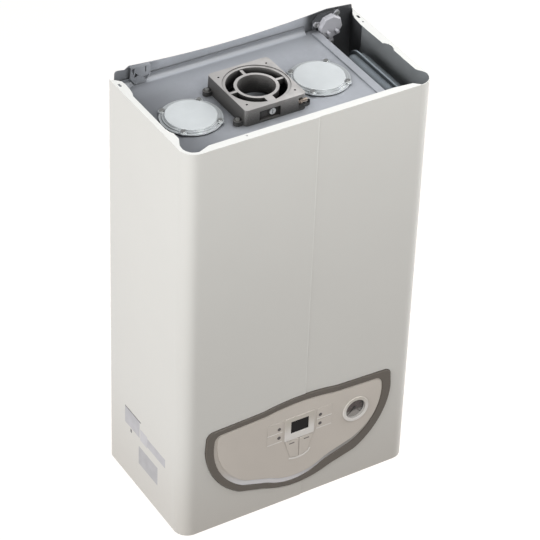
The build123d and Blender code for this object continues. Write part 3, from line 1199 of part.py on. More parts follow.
def return_group():
    """Right casting: pump volute, return and cold tails, filling tap and safety valve."""
    low, high = plate_ports()
    plate_front = -PLATE_BACK - PLATE_D
    body = tail(RETURN_X, TAIL_BIG_R) + tail(COLD_X, TAIL_SMALL_R)
    body += post(RETURN_X, TAIL_Y, SHELF_TOP_Z, PUMP_Z, TAIL_BIG_R + 3)
    body += post(COLD_X, TAIL_Y, SHELF_TOP_Z, high, TAIL_SMALL_R)
    body += bar_y(COLD_X, low, TAIL_Y, plate_front, PIPE_R)
    body += bar_x(TAIL_Y, high, COLD_X, RETURN_X, PIPE_R)
    body += Pos(COLD_X, TAIL_Y, high) * Sphere(PIPE_R + 1)
    body += bar_y(COLD_X, high, TAIL_Y, plate_front, PIPE_R)
    body += bar_x(TAIL_Y, FILL_Z, COLD_X, RETURN_X, PIPE_R - 2)
    body += post(FILL_X, TAIL_Y, FILL_Z - 16, FILL_Z + 14, FILL_R)
    body += bar_x(TAIL_Y, SAFETY_Z, RETURN_X, SAFETY_X, PIPE_R - 2)
    body += post(SAFETY_X, TAIL_Y, SAFETY_Z - SAFETY_FOOT, SAFETY_Z + SAFETY_H, SAFETY_R)
    body += bar_y(RETURN_X, PUMP_Z, PUMP_FRONT_Y, PUMP_BACK_Y, VOLUTE_R)
    outlet_x = pump_outlet_x()
    body += post(outlet_x, TAIL_Y, PUMP_Z, pump_outlet_z(), PIPE_R + 3)
    body += post(RETURN_X, TAIL_Y, PUMP_Z + VOLUTE_R - 6, PUMP_Z + VOLUTE_R + 6, 10)
    body += post(vessel_tap_x(), TAIL_Y, PUMP_Z, vessel_tap_z(), VESSEL_PIPE_R + 3)
    body -= bar_y(RETURN_X, PUMP_Z, PUMP_FRONT_Y - 1, PUMP_BACK_Y - 6, PUMP_CAVITY_R)
    body -= bore(RETURN_X, TAIL_BIG_R, PUMP_Z - PUMP_CAVITY_R + 4)
    body -= bore(COLD_X, TAIL_SMALL_R, low)
    body -= post(outlet_x, TAIL_Y, PUMP_Z + PUMP_CAVITY_R / 2, pump_outlet_z() + 1, PIPE_R - PIPE_WALL)
    body -= post(FILL_X, TAIL_Y, FILL_Z - 17, FILL_Z + 6, FILL_STEM_R + RUNNING_GAP)
    return body - post(SAFETY_X, TAIL_Y, SAFETY_Z + 6, SAFETY_Z + SAFETY_H + 1, FILL_STEM_R + RUNNING_GAP)


def pump_outlet_x():
    """Side of the volute where the pump delivers upwards."""
    return RETURN_X - VOLUTE_R + 14.0


def pump_outlet_z():
    """Top of the pump outlet."""
    return PUMP_Z + VOLUTE_R + 8.0


def vessel_tap_x():
    """Place of the branch to the expansion vessel, on the right of the volute."""
    return RETURN_X + VOLUTE_R - TAP_IN


def vessel_tap_z():
    """Top of that branch."""
    return PUMP_Z + VOLUTE_R - 4.0


def pump_motor():
    """Pump motor can with cooling ribs and terminal box."""
    y0 = PUMP_FRONT_Y - PUMP_MOTOR_L
    flange = bar_y(RETURN_X, PUMP_Z, PUMP_FRONT_Y - PUMP_FLANGE_T, PUMP_FRONT_Y, VOLUTE_R)
    can = bar_y(RETURN_X, PUMP_Z, y0, PUMP_FRONT_Y - PUMP_FLANGE_T, PUMP_MOTOR_R)
    can = fillet(can.edges().sort_by(Axis.Y)[0], 7)
    w, d, h = TERMINAL_BOX
    box_y = PUMP_FRONT_Y - PUMP_FLANGE_T - d
    box = block(RETURN_X - w / 2, RETURN_X + w / 2, box_y, box_y + d,
                PUMP_Z + PUMP_MOTOR_R / 2, PUMP_Z + PUMP_MOTOR_R + h)
    motor = flange + can + fillet(box.edges().filter_by(Axis.Z), 4)
    for i in range(4):
        ring = front(Circle(PUMP_MOTOR_R + 1) - Circle(PUMP_MOTOR_R - 2), 0, 3)
        motor -= Pos(RETURN_X, PUMP_FRONT_Y - 14 - 8 * i, PUMP_Z) * ring
    return motor - bar_y(RETURN_X, PUMP_Z, y0 + 8, PUMP_FRONT_Y + 1, PUMP_SHAFT_R + RUNNING_GAP)


def pump_rotor():
    """Closed impeller with vanes on the pump shaft."""
    y0 = PUMP_FRONT_Y + 6
    disc = bar_y(0, 0, y0, y0 + 2, PUMP_WHEEL_R)
    vane = ThreePointArc((8, 0), (20, 6), (PUMP_WHEEL_R - 1, 0))
    blade = front(trace(vane, 2), y0 + PUMP_WHEEL_W, PUMP_WHEEL_W - 2)
    rotor = disc + [Rot(0, 60 * i, 0) * blade for i in range(6)]
    rotor += bar_y(0, 0, y0, y0 + PUMP_WHEEL_W, 10)
    rotor += bar_y(0, 0, PUMP_FRONT_Y - PUMP_MOTOR_L + 10, y0, PUMP_SHAFT_R)
    return Pos(RETURN_X, 0, PUMP_Z) * rotor


def air_vent():
    """Float air vent on top of the volute."""
    z = PUMP_Z + VOLUTE_R + 6
    vent = post(RETURN_X, TAIL_Y, z, z + 34, 13) + post(RETURN_X, TAIL_Y, z + 34, z + 42, 5)
    return fillet(vent.edges().filter_by(GeomType.CIRCLE).sort_by(Axis.Z)[-1], 1.5)


def knob(r, h, stem_r, stem_l):
    """Ribbed knob on +Z with its stem below."""
    grip = Cylinder(r, h, align=LOW)
    grip = fillet(grip.edges().sort_by(Axis.Z)[-1], 2)
    notch = Pos(r + 1, 0, h / 2) * Cylinder(2.4, h + 2)
    for i in range(8):
        grip -= Rot(0, 0, 45 * i) * notch
    return grip + post(0, 0, -stem_l, 0, stem_r)


def filling_knob():
    """Knob under the shelf that opens the filling tap."""
    top = SHELF_Z - LOCK_H
    turned = Rot(180, 0, 0) * knob(KNOB_R, KNOB_H, FILL_STEM_R, FILL_Z + 5 - top)
    return Pos(FILL_X, TAIL_Y, top) * turned


def safety_knob():
    """Knob on the safety valve, turned to release water."""
    z = SAFETY_Z + SAFETY_H + KEY_GAP
    return Pos(SAFETY_X, TAIL_Y, z) * knob(KNOB_R, KNOB_H, FILL_STEM_R, z - SAFETY_Z - 7)


def plate_exchanger():
    """Stack of pressed plates with rounded ends."""
    outline = RectangleRounded(PLATE_W, PLATE_H, PLATE_H / 2 - 6)
    mid_z = PLATE_LOW_Z + PLATE_H / 2
    stack = front(Pos(0, mid_z) * outline, -PLATE_BACK, PLATE_D)
    groove = front(Pos(0, mid_z) * (outline - offset(outline, -2)), 0, 1.6)
    pitch = PLATE_D / PLATES
    for i in range(1, PLATES):
        stack -= Pos(0, -PLATE_BACK - pitch * i, 0) * groove
    return stack


def flow_pipe():
    """Pipe from the exchanger down to the three-way valve."""
    inlet = (VALVE_TOP_Z + SHELF_TOP_Z) / 2
    x = flow_riser_x()
    return riser(x, -1, [(FLOW_X - VALVE_R - VALVE_INLET_L, TAIL_Y, inlet), (x, TAIL_Y, inlet)])


def return_pipe():
    """Pipe from the pump up to the exchanger."""
    x = return_riser_x()
    out_x = pump_outlet_x()
    z = pump_outlet_z()
    return riser(x, 1, [(out_x, TAIL_Y, z), (out_x, TAIL_Y, z + 2 * PIPE_BEND),
                        (x, TAIL_Y, CHAMBER_LOW_Z - 2 * PIPE_BEND)])


# ---------------------------------------------------------------- vessel and switch
def expansion_vessel():
    """Flat hollow vessel of two dished halves with a crimped seam and a port below."""
    mid_y, mid_z = vessel_port_y(), (VESSEL_LOW_Z + VESSEL_TOP_Z) / 2
    body = fillet(Box(VESSEL_W, VESSEL_D, VESSEL_H).edges(), VESSEL_FILLET)
    plan = RectangleRounded(VESSEL_D + 2 * SEAM_OUT, VESSEL_H + 2 * SEAM_OUT, VESSEL_FILLET + SEAM_OUT)
    seam = extrude(Plane.YZ.offset(-SEAM_W / 2) * plan, SEAM_W)
    body += fillet(seam.edges().filter_by(GeomType.LINE).filter_by(Axis.Z), 1.5)
    port_r = VESSEL_PIPE_R + 3
    body += post(0, 0, -VESSEL_H / 2 - VESSEL_PORT_L, -VESSEL_H / 2 + 2 * VESSEL_WALL, port_r)
    inside = Box(VESSEL_W - 2 * VESSEL_WALL, VESSEL_D - 2 * VESSEL_WALL, VESSEL_H - 2 * VESSEL_WALL)
    body -= fillet(inside.edges(), VESSEL_FILLET - VESSEL_WALL)
    body -= post(0, 0, -VESSEL_H / 2 - VESSEL_PORT_L - 1, -VESSEL_H / 2 + 4 * VESSEL_WALL,
                 VESSEL_PIPE_R - PIPE_WALL)
    return Pos(VESSEL_X, mid_y, mid_z) * body


def vessel_port_y():
    """Depth of the vessel's port."""
    return -VESSEL_BACK - VESSEL_D / 2


def vessel_bracket():
    """Bracket from the rear frame to the vessel's seam."""
    z = VESSEL_TOP_Z - VESSEL_H * 0.45
    z0, z1 = z - BRACKET_H / 2, z + BRACKET_H / 2
    x0 = VESSEL_X + SEAM_W / 2
    x1 = x0 + BRACKET_T
    web = block(x0, x1, -VESSEL_BACK + KEY_GAP + 1, -FRAME_T, z0, z1)
    return web + block(x0, x0 + BRACKET_W, -FRAME_T - BRACKET_T, -FRAME_T, z0, z1)


def vessel_pipe():
    """Pipe between the vessel and the pump group."""
    z = VESSEL_LOW_Z - VESSEL_PORT_L
    y = vessel_port_y()
    turn_z = z - VESSEL_PIPE_DROP
    return bent_pipe([(VESSEL_X, y, z), (VESSEL_X, y, turn_z), (vessel_tap_x(), TAIL_Y, turn_z),
                      (vessel_tap_x(), TAIL_Y, vessel_tap_z())], VESSEL_PIPE_R, PIPE_WALL, 12)


def air_switch():
    """Round pressure switch with an eight-sided cover, three lugs and two spigots."""
    plate = Pos(SWITCH_X, SWITCH_Z) * Circle(SWITCH_R - 3)
    for x, z in switch_lugs():
        plate += trace(Line((SWITCH_X, SWITCH_Z), (x, z)), 2 * SWITCH_LUG_R)
        plate += Pos(x, z) * Circle(SWITCH_LUG_R)
    for x, z in switch_lugs():
        plate -= Pos(x, z) * Circle(SCREW_R + SCREW_GAP)
    body = front(plate, HOOK_COVER_Y, SWITCH_LUG_T)
    eight = Pos(SWITCH_X, SWITCH_Z) * Rot(0, 0, SWITCH_TURN) * RegularPolygon(SWITCH_R, 8)
    cover = front(eight, HOOK_COVER_Y - SWITCH_LUG_T, SWITCH_D - SWITCH_LUG_T)
    body += chamfer(cover.edges().group_by(Axis.Y)[0], 2)
    face = HOOK_COVER_Y - SWITCH_D
    for x in (SWITCH_X - 8, SWITCH_X + 8):
        body += bar_y(x, SWITCH_Z - 6, face - SPIGOT_L, face + 1, 2.5)
    return body


# ---------------------------------------------------------------- control panel
def panel_bezel():
    """Dark band round the panel, with a rounded crest."""
    ring = offset(panel_face(), -PANEL_GAP) - band_face()
    bezel = front(ring, FRONT_Y + BEZEL_BEHIND, BEZEL_BEHIND + BEZEL_PROUD)
    return chamfer(bezel.edges().group_by(Axis.Y)[0], 1.6)


def fascia_cutouts():
    """Openings for the display frame, the keys, the buttons and the gauge."""
    cut = Pos(0, (FRAME_LOW_Z + FRAME_TOP_Z) / 2) * Rectangle(
        2 * FRAME_HALF_W, FRAME_TOP_Z - FRAME_LOW_Z)
    cut += offset(key_outline(1), KEY_GAP) + offset(key_outline(-1), KEY_GAP)
    for x in (-BUTTON_X, BUTTON_X):
        for z in BUTTON_ROWS:
            cut += Pos(x, z) * Circle(BUTTON_R + KEY_GAP)
    return cut + Pos(GAUGE_X, GAUGE_Z) * Circle(GAUGE_BODY_R)


def control_fascia():
    """Pale moulding inside the bezel, with a raised field that bares a lower lip."""
    back = FASCIA_BACK_Y
    fascia = front(offset(panel_face(), -PANEL_GAP), back, FASCIA_T)
    face = band_face()
    fascia += front(face, back - FASCIA_T, BEZEL_BEHIND + FASCIA_PROUD)
    field = offset(face, -2)
    field = field & (Pos(*LIP_SHIFT) * field)
    fascia += front(field, FRONT_Y - FASCIA_PROUD, FIELD_PROUD)
    return fascia - front(fascia_cutouts(), back + 1, 20)


def lcd_frame():
    """Display frame with its window opening."""
    mid = (FRAME_LOW_Z + FRAME_TOP_Z) / 2
    high = FRAME_TOP_Z - FRAME_LOW_Z
    plan = Pos(0, mid) * RectangleRounded(2 * FRAME_HALF_W, high, 2)
    back = FASCIA_BACK_Y
    frame = front(plan, back, back - FIELD_Y + FRAME_PROUD)
    frame = chamfer(frame.edges().group_by(Axis.Y)[0], 0.6)
    window = Pos(0, LCD_Z) * Rectangle(LCD_W, LCD_H)
    return frame - front(window, back + 1, 30)


def lcd_window():
    """Display window, set back in its frame."""
    window = Pos(0, LCD_Z) * Rectangle(LCD_W, LCD_H)
    return front(window, FIELD_Y + LCD_T, LCD_T)


def key_outline(sign):
    """Wing key: slanted outer side, curved lower edge."""
    inner = KEY_SPLIT / 2 + KEY_GAP
    face = make_face([
        Line((inner, KEY_TOP_Z), (KEY_TOP_X, KEY_TOP_Z)),
        Line((KEY_TOP_X, KEY_TOP_Z), (KEY_LOW_X, KEY_LOW_Z + 4)),
        ThreePointArc((KEY_LOW_X, KEY_LOW_Z + 4), (KEY_LOW_X / 2, KEY_LOW_Z + 1), (inner, KEY_LOW_Z)),
        Line((inner, KEY_LOW_Z), (inner, KEY_TOP_Z)),
    ])
    return face if sign > 0 else mirror(face, Plane.YZ)


def wing_key(sign):
    """Wing key that presses inwards."""
    key = front(key_outline(sign), FIELD_Y - 0.6 + KEY_L, KEY_L)
    return chamfer(key.edges().group_by(Axis.Y)[0], 0.4)


def round_button(x, z):
    """Round button that presses inwards."""
    tip = FIELD_Y - BUTTON_PROUD
    button = bar_y(x, z, tip, tip + BUTTON_L, BUTTON_R)
    return fillet(button.edges().sort_by(Axis.Y)[0], 0.5)


def gauge_case():
    """Gauge body behind the fascia with its raised ring in front."""
    body = bar_y(GAUGE_X, GAUGE_Z, FIELD_Y, FIELD_Y + GAUGE_BODY_L, GAUGE_BODY_R)
    ring = bar_y(GAUGE_X, GAUGE_Z, GAUGE_FRONT_Y - FIELD_PROUD, FIELD_Y, GAUGE_RING_R)
    ring = fillet(ring.edges().group_by(Axis.Y)[0], 1.4)
    body += ring
    body -= bar_y(GAUGE_X, GAUGE_Z, GAUGE_FRONT_Y - 5, DIAL_Y + DIAL_T, GAUGE_DIAL_R)
    body += bar_y(GAUGE_X, GAUGE_Z, FIELD_Y + GAUGE_BODY_L, FIELD_Y + GAUGE_BODY_L + 8, 5)
    return body - bar_y(GAUGE_X, GAUGE_Z, DIAL_Y, DIAL_Y + 8, SPINDLE_R + RUNNING_GAP)


def gauge_dial():
    """Dial plate with a spindle hole."""
    dial = Circle(GAUGE_DIAL_R) - Circle(SPINDLE_R + RUNNING_GAP)
    return front(Pos(GAUGE_X, GAUGE_Z) * dial, DIAL_Y + DIAL_T, DIAL_T)


def gauge_needle():
    """Needle, hub and spindle, resting at zero on the lower left."""
    y1 = DIAL_Y - 0.6
    blade = make_face(Polyline((-1.0, -3.5), (1.0, -3.5), (0.35, NEEDLE_L), (-0.35, NEEDLE_L), close=True))
    arm = front(Rot(0, 0, 135) * blade, y1, NEEDLE_T)
    hub = bar_y(0, 0, y1 - NEEDLE_T - 0.4, y1, 2.4)
    spindle = bar_y(0, 0, y1, DIAL_Y + 6, SPINDLE_R)
    return Pos(GAUGE_X, 0, GAUGE_Z) * (arm + hub + spindle)


def gauge_lens():
    """Clear lens in the ring."""
    y0 = GAUGE_FRONT_Y + 0.6
    return bar_y(GAUGE_X, GAUGE_Z, y0, y0 + LENS_T, GAUGE_DIAL_R)


def control_box():
    """Tray behind the fascia, closed at the back, with a pivot boss on each side."""
    y0, y1 = FASCIA_BACK_Y, BOX_BACK_Y
    box = block(-BOX_HALF_W, BOX_HALF_W, y0, y1, BOX_LOW_Z, BOX_TOP_Z)
    box = fillet(box.edges().filter_by(Axis.Y), 8)
    hollow = block(-BOX_HALF_W + BOX_T, BOX_HALF_W - BOX_T, y0 - 1, y1 - BOX_T,
                   BOX_LOW_Z + BOX_T, BOX_TOP_Z - BOX_T)
    box -= fillet(hollow.edges().filter_by(Axis.Y), 6)
    for x0, x1 in ((-ARM_X - ARM_T, -BOX_HALF_W), (BOX_HALF_W, ARM_X + ARM_T)):
        box += bar_x(pivot_y(), PIVOT_Z, x0, x1, PIVOT_R)
        inner0 = x0 if x0 > 0 else x0 + ARM_T + KEY_GAP
        inner1 = x1 if x0 < 0 else x1 - ARM_T - KEY_GAP
        box += bar_x(pivot_y(), PIVOT_Z, inner0, inner1, PIVOT_R + 4)
    for x, z in four(BOARD_W - 2 * BOARD_EDGE, BOARD_H - 2 * BOARD_EDGE):
        box += bar_y(board_x() + x, board_z() + z, board_y() + BOARD_T, y1 - BOX_T, 4)
    return box


def board_x():
    """Centre of the control board, kept clear of the gauge."""
    return -BOX_HALF_W + BOX_T + 4 + BOARD_W / 2


def board_z():
    """Height of the board's centre."""
    return (BOX_LOW_Z + BOX_TOP_Z) / 2


def board_y():
    """Front of the board."""
    return BOX_BACK_Y - BOX_T - BOARD_STAND


def control_board():
    """Circuit board with transformer, relays, capacitors and connectors."""
    x0, z0 = board_x() - BOARD_W / 2, board_z()
    board = front(Pos(board_x(), z0) * Rectangle(BOARD_W, BOARD_H), board_y() + BOARD_T, BOARD_T)
    for x, z, w, h, d in BOARD_BLOCKS:
        board += block(x0 + x - w / 2, x0 + x + w / 2, board_y() - d, board_y(),
                       z0 + z - h / 2, z0 + z + h / 2)
    w, h, d = CONNECTOR
    pitch = (BOARD_W - 3 * w) / (CONNECTORS - 1)
    low = z0 - BOARD_H / 2 + h
    for i in range(CONNECTORS):
        x = x0 + w + i * pitch
        board += block(x - w / 2, x + w / 2, board_y() - d, board_y(), low - h / 2, low + h / 2)
    for i in range(CAPACITORS):
        x = x0 + BOARD_W - CAPACITOR_IN - i * CAPACITOR_PITCH
        board += bar_y(x, z0 + BOARD_BLOCKS[0][1], board_y() - CAPACITOR_H, board_y(), CAPACITOR_R)
    return board


# ---------------------------------------------------------------- parts
NODES = {
    "casing_shell": casing_shell(),
    "casing_screws": casing_screws(),
    "rear_frame": rear_frame(),
    "panel_arms": [panel_arm(-1), panel_arm(1)],
    "chamber_body": chamber_body(),
    "chamber_cover": chamber_cover(),
    "machine_screws": machine_screws(),
    "flue_adaptor": flue_adaptor(),
    "top_gaskets": [flue_gasket(), *cap_gaskets()],
    "test_plug": test_plug(),
    "test_nipple": test_nipple(),
    "left_cap_flange": cap_flange(CAP_LEFT_X),
    "left_cap_disc": cap_disc(CAP_LEFT_X),
    "right_cap_flange": cap_flange(CAP_RIGHT_X),
    "right_cap_disc": cap_disc(CAP_RIGHT_X),
    "fan_housing": fan_housing(),
    "fan_impeller": fan_impeller(),
    "fan_motor": fan_motor(),
    "flue_hood": flue_hood(),
    "heat_exchanger": heat_exchanger(),
    "combustion_box": combustion_box(),
    "insulation_lining": insulation_lining(),
    "burner": burner(),
    "gas_manifold": gas_manifold(),
    "electrodes": electrodes(),
    "gas_inlet": gas_inlet(),
    "gas_valve": gas_valve(),
    "gas_pipe": gas_pipe(),
    "flow_group": flow_group(),
    "valve_stem": valve_stem(),
    "valve_actuator": valve_actuator(),
    "return_group": return_group(),
    "pump_motor": pump_motor(),
    "pump_rotor": pump_rotor(),
    "air_vent": air_vent(),
    "filling_knob": filling_knob(),
    "safety_knob": safety_knob(),
    "plate_exchanger": plate_exchanger(),
    "flow_pipe": flow_pipe(),
    "return_pipe": return_pipe(),
    "expansion_vessel": expansion_vessel(),
    "vessel_bracket": vessel_bracket(),
    "vessel_pipe": vessel_pipe(),
    "air_switch": air_switch(),
    "panel_bezel": panel_bezel(),
    "control_fascia": control_fascia(),
    "lcd_frame": lcd_frame(),
    "lcd_window": lcd_window(),
    "key_left": wing_key(-1),
    "key_right": wing_key(1),
    "gauge_case": gauge_case(),
    "gauge_dial": gauge_dial(),
    "gauge_needle": gauge_needle(),
    "gauge_lens": gauge_lens(),
    "control_box": control_box(),
    "control_board": control_board(),
}
for number, (x, z) in enumerate([(x, z) for x in (-BUTTON_X, BUTTON_X) for z in BUTTON_ROWS]):
    NODES[f"button_{number + 1}"] = round_button(x, z)

os.makedirs("parts", exist_ok=True)
for node, shape in NODES.items():
    solids = shape if isinstance(shape, list) else [shape]
    solids = [solid for item in solids for solid in item.solids()]
    export_step(solids[0] if len(solids) == 1 else Compound(solids), f"parts/{node}.step")
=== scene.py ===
import json
import math

import bmesh
import bpy
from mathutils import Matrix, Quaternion, Vector


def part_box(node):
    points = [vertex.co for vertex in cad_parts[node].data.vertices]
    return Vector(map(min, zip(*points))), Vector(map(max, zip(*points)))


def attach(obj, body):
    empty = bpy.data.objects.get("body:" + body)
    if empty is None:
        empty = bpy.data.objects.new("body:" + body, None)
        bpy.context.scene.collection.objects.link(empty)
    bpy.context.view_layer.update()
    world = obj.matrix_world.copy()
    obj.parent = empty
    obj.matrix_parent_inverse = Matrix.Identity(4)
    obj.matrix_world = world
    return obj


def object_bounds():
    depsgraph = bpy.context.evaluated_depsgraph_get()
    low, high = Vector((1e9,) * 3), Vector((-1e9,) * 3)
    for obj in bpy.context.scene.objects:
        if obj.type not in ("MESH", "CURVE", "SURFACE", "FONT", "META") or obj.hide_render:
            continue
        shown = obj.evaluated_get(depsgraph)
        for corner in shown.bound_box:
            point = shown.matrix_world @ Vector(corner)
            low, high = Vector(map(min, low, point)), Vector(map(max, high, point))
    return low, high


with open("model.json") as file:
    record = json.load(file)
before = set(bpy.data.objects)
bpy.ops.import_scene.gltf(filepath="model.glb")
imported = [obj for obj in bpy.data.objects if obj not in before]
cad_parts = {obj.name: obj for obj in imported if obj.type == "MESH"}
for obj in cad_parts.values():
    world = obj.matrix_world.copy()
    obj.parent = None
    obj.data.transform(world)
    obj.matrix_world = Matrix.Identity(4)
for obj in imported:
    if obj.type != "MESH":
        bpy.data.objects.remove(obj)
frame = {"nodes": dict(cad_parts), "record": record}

# Wall-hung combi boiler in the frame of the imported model: metres, +Z up, the front faces -Y,
# the origin on the wall plane at the bottom centre. Lengths and places below are in
# millimetres, unless their section or comment says metres, and MM turns them into metres.

MM = 0.001
cad_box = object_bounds()

# ---------------------------------------------------------------- the photograph's view
VIEW_AZIMUTH = math.radians(-32.451)
VIEW_ELEVATION = math.radians(37.284)
VIEW_ROLL = math.radians(2.291)
VIEW_TARGET = Vector((84.26, 0.0, 284.48)) * MM
VIEW_DISTANCE = 4.3899               # metres
VIEW_END = 60.0                      # metres; nothing is drawn beyond
FOCAL_PIXELS = 2601.68
IMAGE_PIXELS = 540
SENSOR_MM = 36.0

# ---------------------------------------------------------------- room, in metres
FLOOR_DROP = 0.30                    # floor below the lowest point of the boiler
FLOOR_RADIUS = 14.0
FLOOR_SIDES = 96
FLOOR_COLOUR = (0.31, 0.27, 0.23, 1.0)
FLOOR_GLOW = 0.86                    # only where the floor is seen directly or in a reflection
AMBIENT = 0.18
AMBIENT_COLOUR = (0.95, 0.97, 1.0, 1.0)
LAMPS = (
    # name, place, aimed at, size, watts, colour
    ("key_left", (-3.3, -0.7, 1.8), (0.0, -0.1, 0.45), 2.2, 94.0, (1.0, 1.0, 0.995)),
    ("key_right", (2.2, -0.6, 1.8), (0.0, -0.1, 0.50), 1.4, 40.0, (1.0, 1.0, 0.995)),
    ("front_high", (0.1, -1.3, 1.8), (0.0, -0.2, 0.50), 0.7, 11.0, (1.0, 0.995, 0.975)),
    ("top", (0.3, 0.1, 2.6), (0.0, -0.1, 0.70), 1.4, 14.5, (0.97, 0.98, 1.0)),
)

# ---------------------------------------------------------------- where the finishes change
CORNER_SHADE_SAMPLES = 8                   # rays for the painted shade in corners
CASE_CENTRE = (0.0, -110.0, 0.0)     # an upright line inside the casing
FACES_IN = (-10.0, -30.0)            # from coat to the darker inner grey, by a face's distance along its own normal from that line; negative where it faces the line
                                     # normal from that line; negative where it faces the line
SHADED_FOOT_COAT = (0.67, 0.65, 0.615)      # painted shade: darker, warmer coat towards the foot of the casing
SHADED_FOOT_Z = (-60.0, 220.0)
FILM = (0.56, 0.56, 0.60)            # blank film patches on the casing's left side
FILM_EDGE = (0.09, 0.09, 0.10)
# Each patch: centre and half size along x, y and z, and its colour
PATCHES = (((-220.0, -73.0, 129.0), (0.5, 25.0, 17.0), FILM),
           ((-220.0, -75.0, 147.0), (0.5, 27.0, 1.2), FILM_EDGE),
           ((-220.0, -69.0, 106.0), (0.5, 2.6, 3.6), FILM_EDGE),
           ((-220.0, -112.0, 121.0), (0.5, 12.0, 12.0), (0.63, 0.63, 0.67)),
           ((-220.0, -127.0, 74.0), (0.5, 32.0, 19.0), (0.50, 0.50, 0.53)),
           ((-220.0, -154.0, 121.0), (0.5, 30.0, 9.0), FILM))
FLANK_IN = 13.0                      # the adaptor's left flank from the ends of its lugs
FLANK_BLEND = 1.5                    # from the flank's painted shade to the top's colour
SHADE_RUN = 110.0                     # from the adaptor's left end, darkened by painted shade, to its lighter part
LIP_Y = -241.7                       # between the fascia's raised field and its lip
LIP_BLEND = 0.2                      # half of the step between them
LIP_FADE_X = (-30.0, 95.0)           # the lip's painted highlight turns to painted shade to the right and fades upwards
LIP_FADE_Z = (70.0, 125.0)           # and upwards
FRAME_LIGHT_Z = (140.0, 172.0)             # painted light on the display frame's lower part, painted shade towards its top
DIAL_FOOT_Z = 139.0                  # top of the dial's pale foot
DIAL_FOOT_BLEND = 5.0                # from the foot's colour to the dial's
# Painted shade on two sheets, for galvanised(): the spans, as axis, start and end, over which
# the painted shade clears, and the share of its colour that is left before them
FRAME_INSIDE = ("Y", -1.4, -0.7)     # from the rear frame's inner face to its back
CHAMBER_SHADE = (((("X", -205.0, -60.0),), 0.47),
                ((("Y", -8.0, -60.0),), 0.66))
FRAME_SHADE = (((("X", -205.0, -110.0), FRAME_INSIDE), 0.46),
              ((("X", 140.0, 124.0), ("Z", 700.0, 600.0), FRAME_INSIDE), 0.14))

# ---------------------------------------------------------------- small details
INK_H = 0.05                         # thickness of printed marks
DIAL_START = 225.0                   # degrees, anticlockwise from the right; zero of the scale
DIAL_SWEEP = 270.0                   # degrees from zero to full scale
DIAL_TICKS = 20                      # small divisions of the scale
DIAL_NUMBERS = 4                     # highest number on the scale
TICK_IN_R = 14.8
TICK_OUT_R = 17.4
TICK_HALF_W = 0.4
MAJOR_IN_R = 13.4                    # ticks at the numbers reach further in
MAJOR_HALF_W = 0.8
NUMBER_R = 11.0
NUMBER_SIZE = 5.4                    # height of the text's line
ARC_BAND = 1.5                       # width of the arc outside the ticks
ARC_STEPS = 48
# Pads beside the display frame: name, side of the middle, lower and upper button
PADS = (("left", -1, ("button_2", "button_1")),
        ("right", 1, ("button_4", "button_3")))
PAD_IN_X = 33.0                      # a pad's two ends from the middle of the panel
PAD_OUT_X = 62.0
PAD_LOW_Z = 136.0
PAD_TOP_Z = 179.0
PAD_SPLIT = 1.2                      # gap between the two plates of a pad
PAD_H = 0.5                          # how far pads and key arc stand out
PAD_R = 2.0                          # corner radius
PAD_HOLE_GAP = 0.3                   # between a pad's hole and its button
HOLE_RUN = 1.5                       # longest edge round a pierced plate
PAD_HIGHLIGHT_H = 2.0                     # painted highlight along a pad's lower edge
PAD_HIGHLIGHT_R = 0.4
# A plain dash on each key: the key's node and its body
DASHES = (("key_left", "left_key"),
          ("key_right", "right_key"))
DASH_W = 10.5
DASH_H = 1.9
DASH_Z = 124.5
DASH_ROUND = 0.9                     # its corner radius as a share of half its height
ARC_W = 3.4                          # raised arc under the keys
ARC_EDGE = 0.2                       # its bevel
ARC_POINTS = ((-18.5, 92.0), (-10.0, 89.6), (0.0, 88.6), (10.0, 90.0), (18.5, 94.5), (22.0, 101.0))


